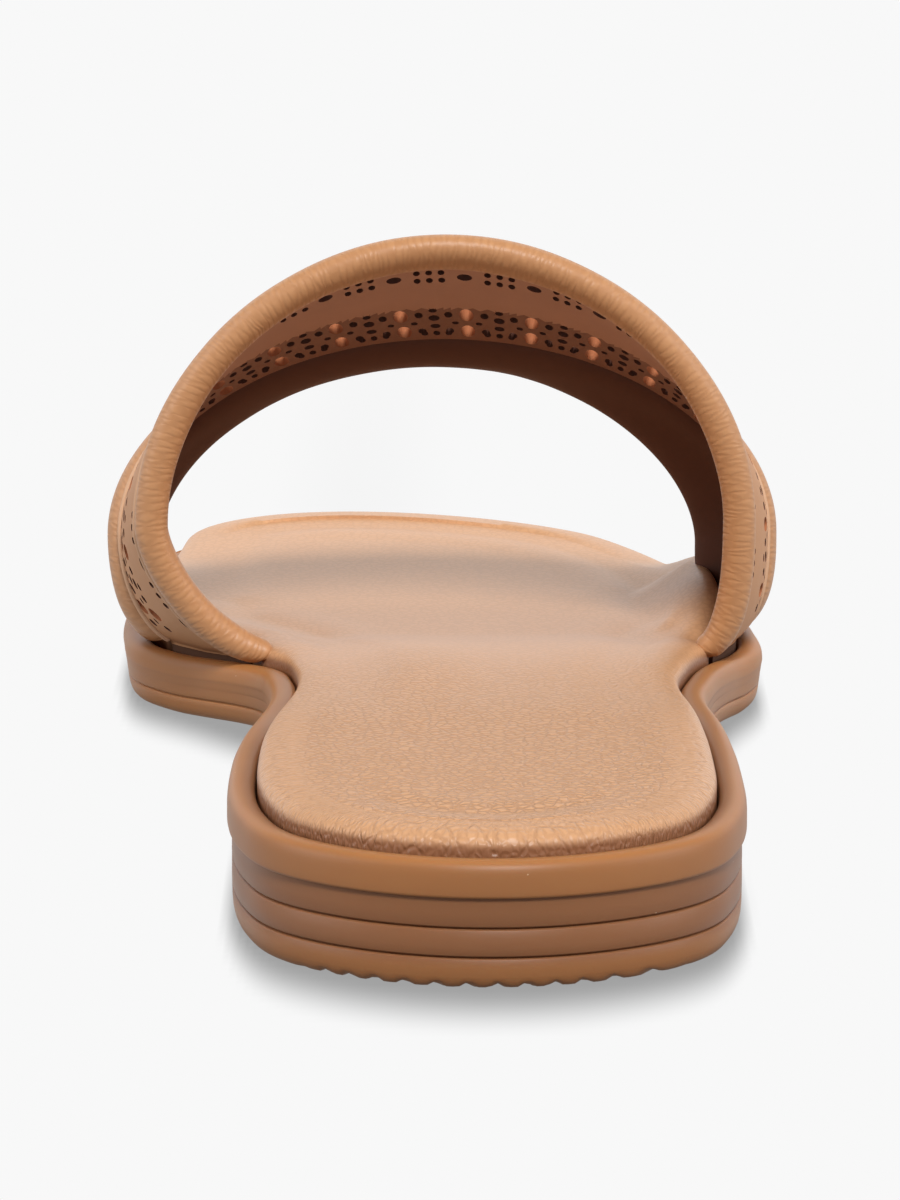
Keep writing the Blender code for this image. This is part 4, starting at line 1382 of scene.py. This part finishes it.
def build_table(look):
    """Table that glows as if lit from below, with its contact shadow painted
    into the glow.
    """
    far = np.array([0.5, 2.0, 12.0])
    half_width, rear, front = 0.065, -0.165, 0.145
    xs = np.concatenate([-far[::-1],
                         np.linspace(-half_width, half_width, 131), far])
    ys = np.concatenate([-far[::-1], np.linspace(rear, front, 104), far])
    x, y = np.meshgrid(xs, ys)
    points = np.stack([x, y, np.zeros_like(x)], axis=-1).reshape(-1, 3)
    wide = len(xs)
    faces = [(k * wide + i, k * wide + i + 1,
              (k + 1) * wide + i + 1, (k + 1) * wide + i)
             for k in range(len(ys) - 1) for i in range(wide - 1)]
    mesh = bpy.data.meshes.new("light_table")
    mesh.from_pydata(points.tolist(), [], faces)
    shade = mesh.attributes.new("shade", "FLOAT", "POINT")
    shade.data.foreach_set("value", table_shade(x, y).ravel())
    made, tree, shader = lit_material("glowing_table_painted_shadow", (1.0, 1.0, 1.0))
    dim = add_node(tree, "ShaderNodeAttribute", {"attribute_name": "shade"})
    strength = add_node(tree, "ShaderNodeMapRange",
                        values={"To Min": look.glow * look.shadow,
                                "To Max": look.glow},
                        links={"Value": dim.outputs["Fac"]})
    tree.links.new(strength.outputs["Result"],
                   shader.inputs["Emission Strength"])
    mesh.materials.append(made)
    table = add_object("light_table", mesh)
    table.visible_diffuse = False


def build_backdrop(look):
    """Lit white backdrop beyond the toe, which the leather mirrors."""
    mesh = bpy.data.meshes.new("backdrop")
    mesh.from_pydata([(-3.0, 2.2, 0.0), (3.0, 2.2, 0.0), (3.0, 2.2, 2.0),
                      (-3.0, 2.2, 2.0)], [], [(0, 1, 2, 3)])
    made, _, shader = lit_material("lit_white_backdrop", (0.96, 0.98, 1.0))
    shader.inputs["Emission Strength"].default_value = look.wall
    mesh.materials.append(made)
    backdrop = add_object("backdrop", mesh)


def add_lamp(name, energy, spread, lean, turn):
    """A far softbox.  lean: degrees from straight above; turn: sideways."""
    data = bpy.data.lights.new(name, "SUN")
    data.energy = energy
    data.angle = math.radians(spread)
    lamp = add_object(name, data)
    lamp.rotation_euler = (math.radians(lean), 0.0, math.radians(turn))


def build_stage(look):
    """Table, backdrop, sky, key light, two side lights, and the camera."""
    build_table(look)
    build_backdrop(look)
    world = bpy.data.worlds.new("studio_sky")
    world.use_nodes = True
    sky = world.node_tree.nodes["Background"]
    sky.inputs["Color"].default_value = (1.0, 1.0, 1.0, 1.0)
    sky.inputs["Strength"].default_value = look.sky
    bpy.context.scene.world = world
    add_lamp("key_light", look.lamp, spread=14.0, lean=45.0, turn=8.0)
    add_lamp("left_light", look.side, spread=40.0, lean=68.0, turn=-85.0)
    add_lamp("right_light", look.side, spread=40.0, lean=68.0, turn=85.0)
    camera_data = bpy.data.cameras.new("camera")
    camera_data.lens = CAMERA_LENS
    camera_data.sensor_width = CAMERA_SENSOR
    camera = add_object("camera", camera_data)
    camera.location = CAMERA_PLACE
    camera.rotation_euler = (math.pi / 2 - CAMERA_DOWN, 0.0, 0.0)
    bpy.context.scene.camera = camera
    bpy.context.scene.view_settings.view_transform = "Standard"


class SLIDE_OT_sole(bpy.types.Operator):
    """Build the moulded sole"""
    bl_idname = "slide.sole"
    bl_label = "Sole"

    def execute(self, context):
        build_sole(context.scene.slide_sole)
        return {"FINISHED"}


class SLIDE_OT_footbed(bpy.types.Operator):
    """Build the padded footbed"""
    bl_idname = "slide.footbed"
    bl_label = "Footbed"

    def execute(self, context):
        build_footbed(context.scene.slide_footbed)
        return {"FINISHED"}


class SLIDE_OT_panel(bpy.types.Operator):
    """Build the perforated panel of the strap"""
    bl_idname = "slide.panel"
    bl_label = "Panel"

    def execute(self, context):
        build_panel(context.scene.slide_strap)
        return {"FINISHED"}


class SLIDE_OT_rolls(bpy.types.Operator):
    """Build the padded edges of the strap"""
    bl_idname = "slide.rolls"
    bl_label = "Padded edges"

    def execute(self, context):
        leather = roll_leather(context.scene.slide_strap)
        build_roll("rear_roll", "strap_rear_edge", 0.0, REAR_SEAM,
                   REAR_EDGE_THICKNESS, leather)
        # Painted shade: the front roll's inner side takes the dark hem lining
        shaded_hem = napped_leather("hem_lining_painted_shade",
                             context.scene.slide_strap.shaded_hem, 0.6)
        build_roll("front_roll", "strap_front_edge", 1.0, FRONT_SEAM,
                   FRONT_EDGE_THICKNESS, leather, shaded_hem)
        return {"FINISHED"}


class SLIDE_OT_welts(bpy.types.Operator):
    """Build the raised seams beside the padded edges"""
    bl_idname = "slide.welts"
    bl_label = "Raised seams"

    def execute(self, context):
        look = context.scene.slide_strap
        nubuck = napped_leather("nubuck_welt", look.welt, 0.6)
        build_welt("rear_welt", REAR_WELT, look, nubuck)
        build_welt("front_welt", FRONT_WELT, look, nubuck)
        return {"FINISHED"}


class SLIDE_OT_stage(bpy.types.Operator):
    """Set up the floor, the light and the camera"""
    bl_idname = "slide.stage"
    bl_label = "Stage"

    def execute(self, context):
        build_stage(context.scene.slide_stage)
        return {"FINISHED"}


OPERATORS = (SLIDE_OT_sole, SLIDE_OT_footbed, SLIDE_OT_panel, SLIDE_OT_rolls,
             SLIDE_OT_welts, SLIDE_OT_stage)
LOOKS = {"slide_sole": SoleLook, "slide_footbed": FootbedLook,
         "slide_strap": StrapLook, "slide_stage": StageLook}


class SLIDE_PT_panel(bpy.types.Panel):
    """Sidebar panel that lists the sandal's pieces"""
    bl_idname = "SLIDE_PT_panel"
    bl_label = "Slide sandal"
    bl_space_type = "VIEW_3D"
    bl_region_type = "UI"
    bl_category = "Slide sandal"

    def draw(self, context):
        for made in OPERATORS:
            self.layout.operator(made.bl_idname)
        for name, look in LOOKS.items():
            box = self.layout.box()
            for field in look.__annotations__:
                box.prop(getattr(context.scene, name), field)


def register():
    for made in (*LOOKS.values(), *OPERATORS, SLIDE_PT_panel):
        bpy.utils.register_class(made)
    for name, look in LOOKS.items():
        setattr(bpy.types.Scene, name, bpy.props.PointerProperty(type=look))


def unregister():
    for name in LOOKS:
        delattr(bpy.types.Scene, name)
    for made in (SLIDE_PT_panel, *reversed(OPERATORS), *LOOKS.values()):
        bpy.utils.unregister_class(made)


def main():
    """Build every piece and the stage."""
    register()
    bpy.ops.slide.sole()
    bpy.ops.slide.footbed()
    bpy.ops.slide.panel()
    bpy.ops.slide.rolls()
    bpy.ops.slide.welts()
    bpy.ops.slide.stage()


if __name__ == "__main__":
    main()
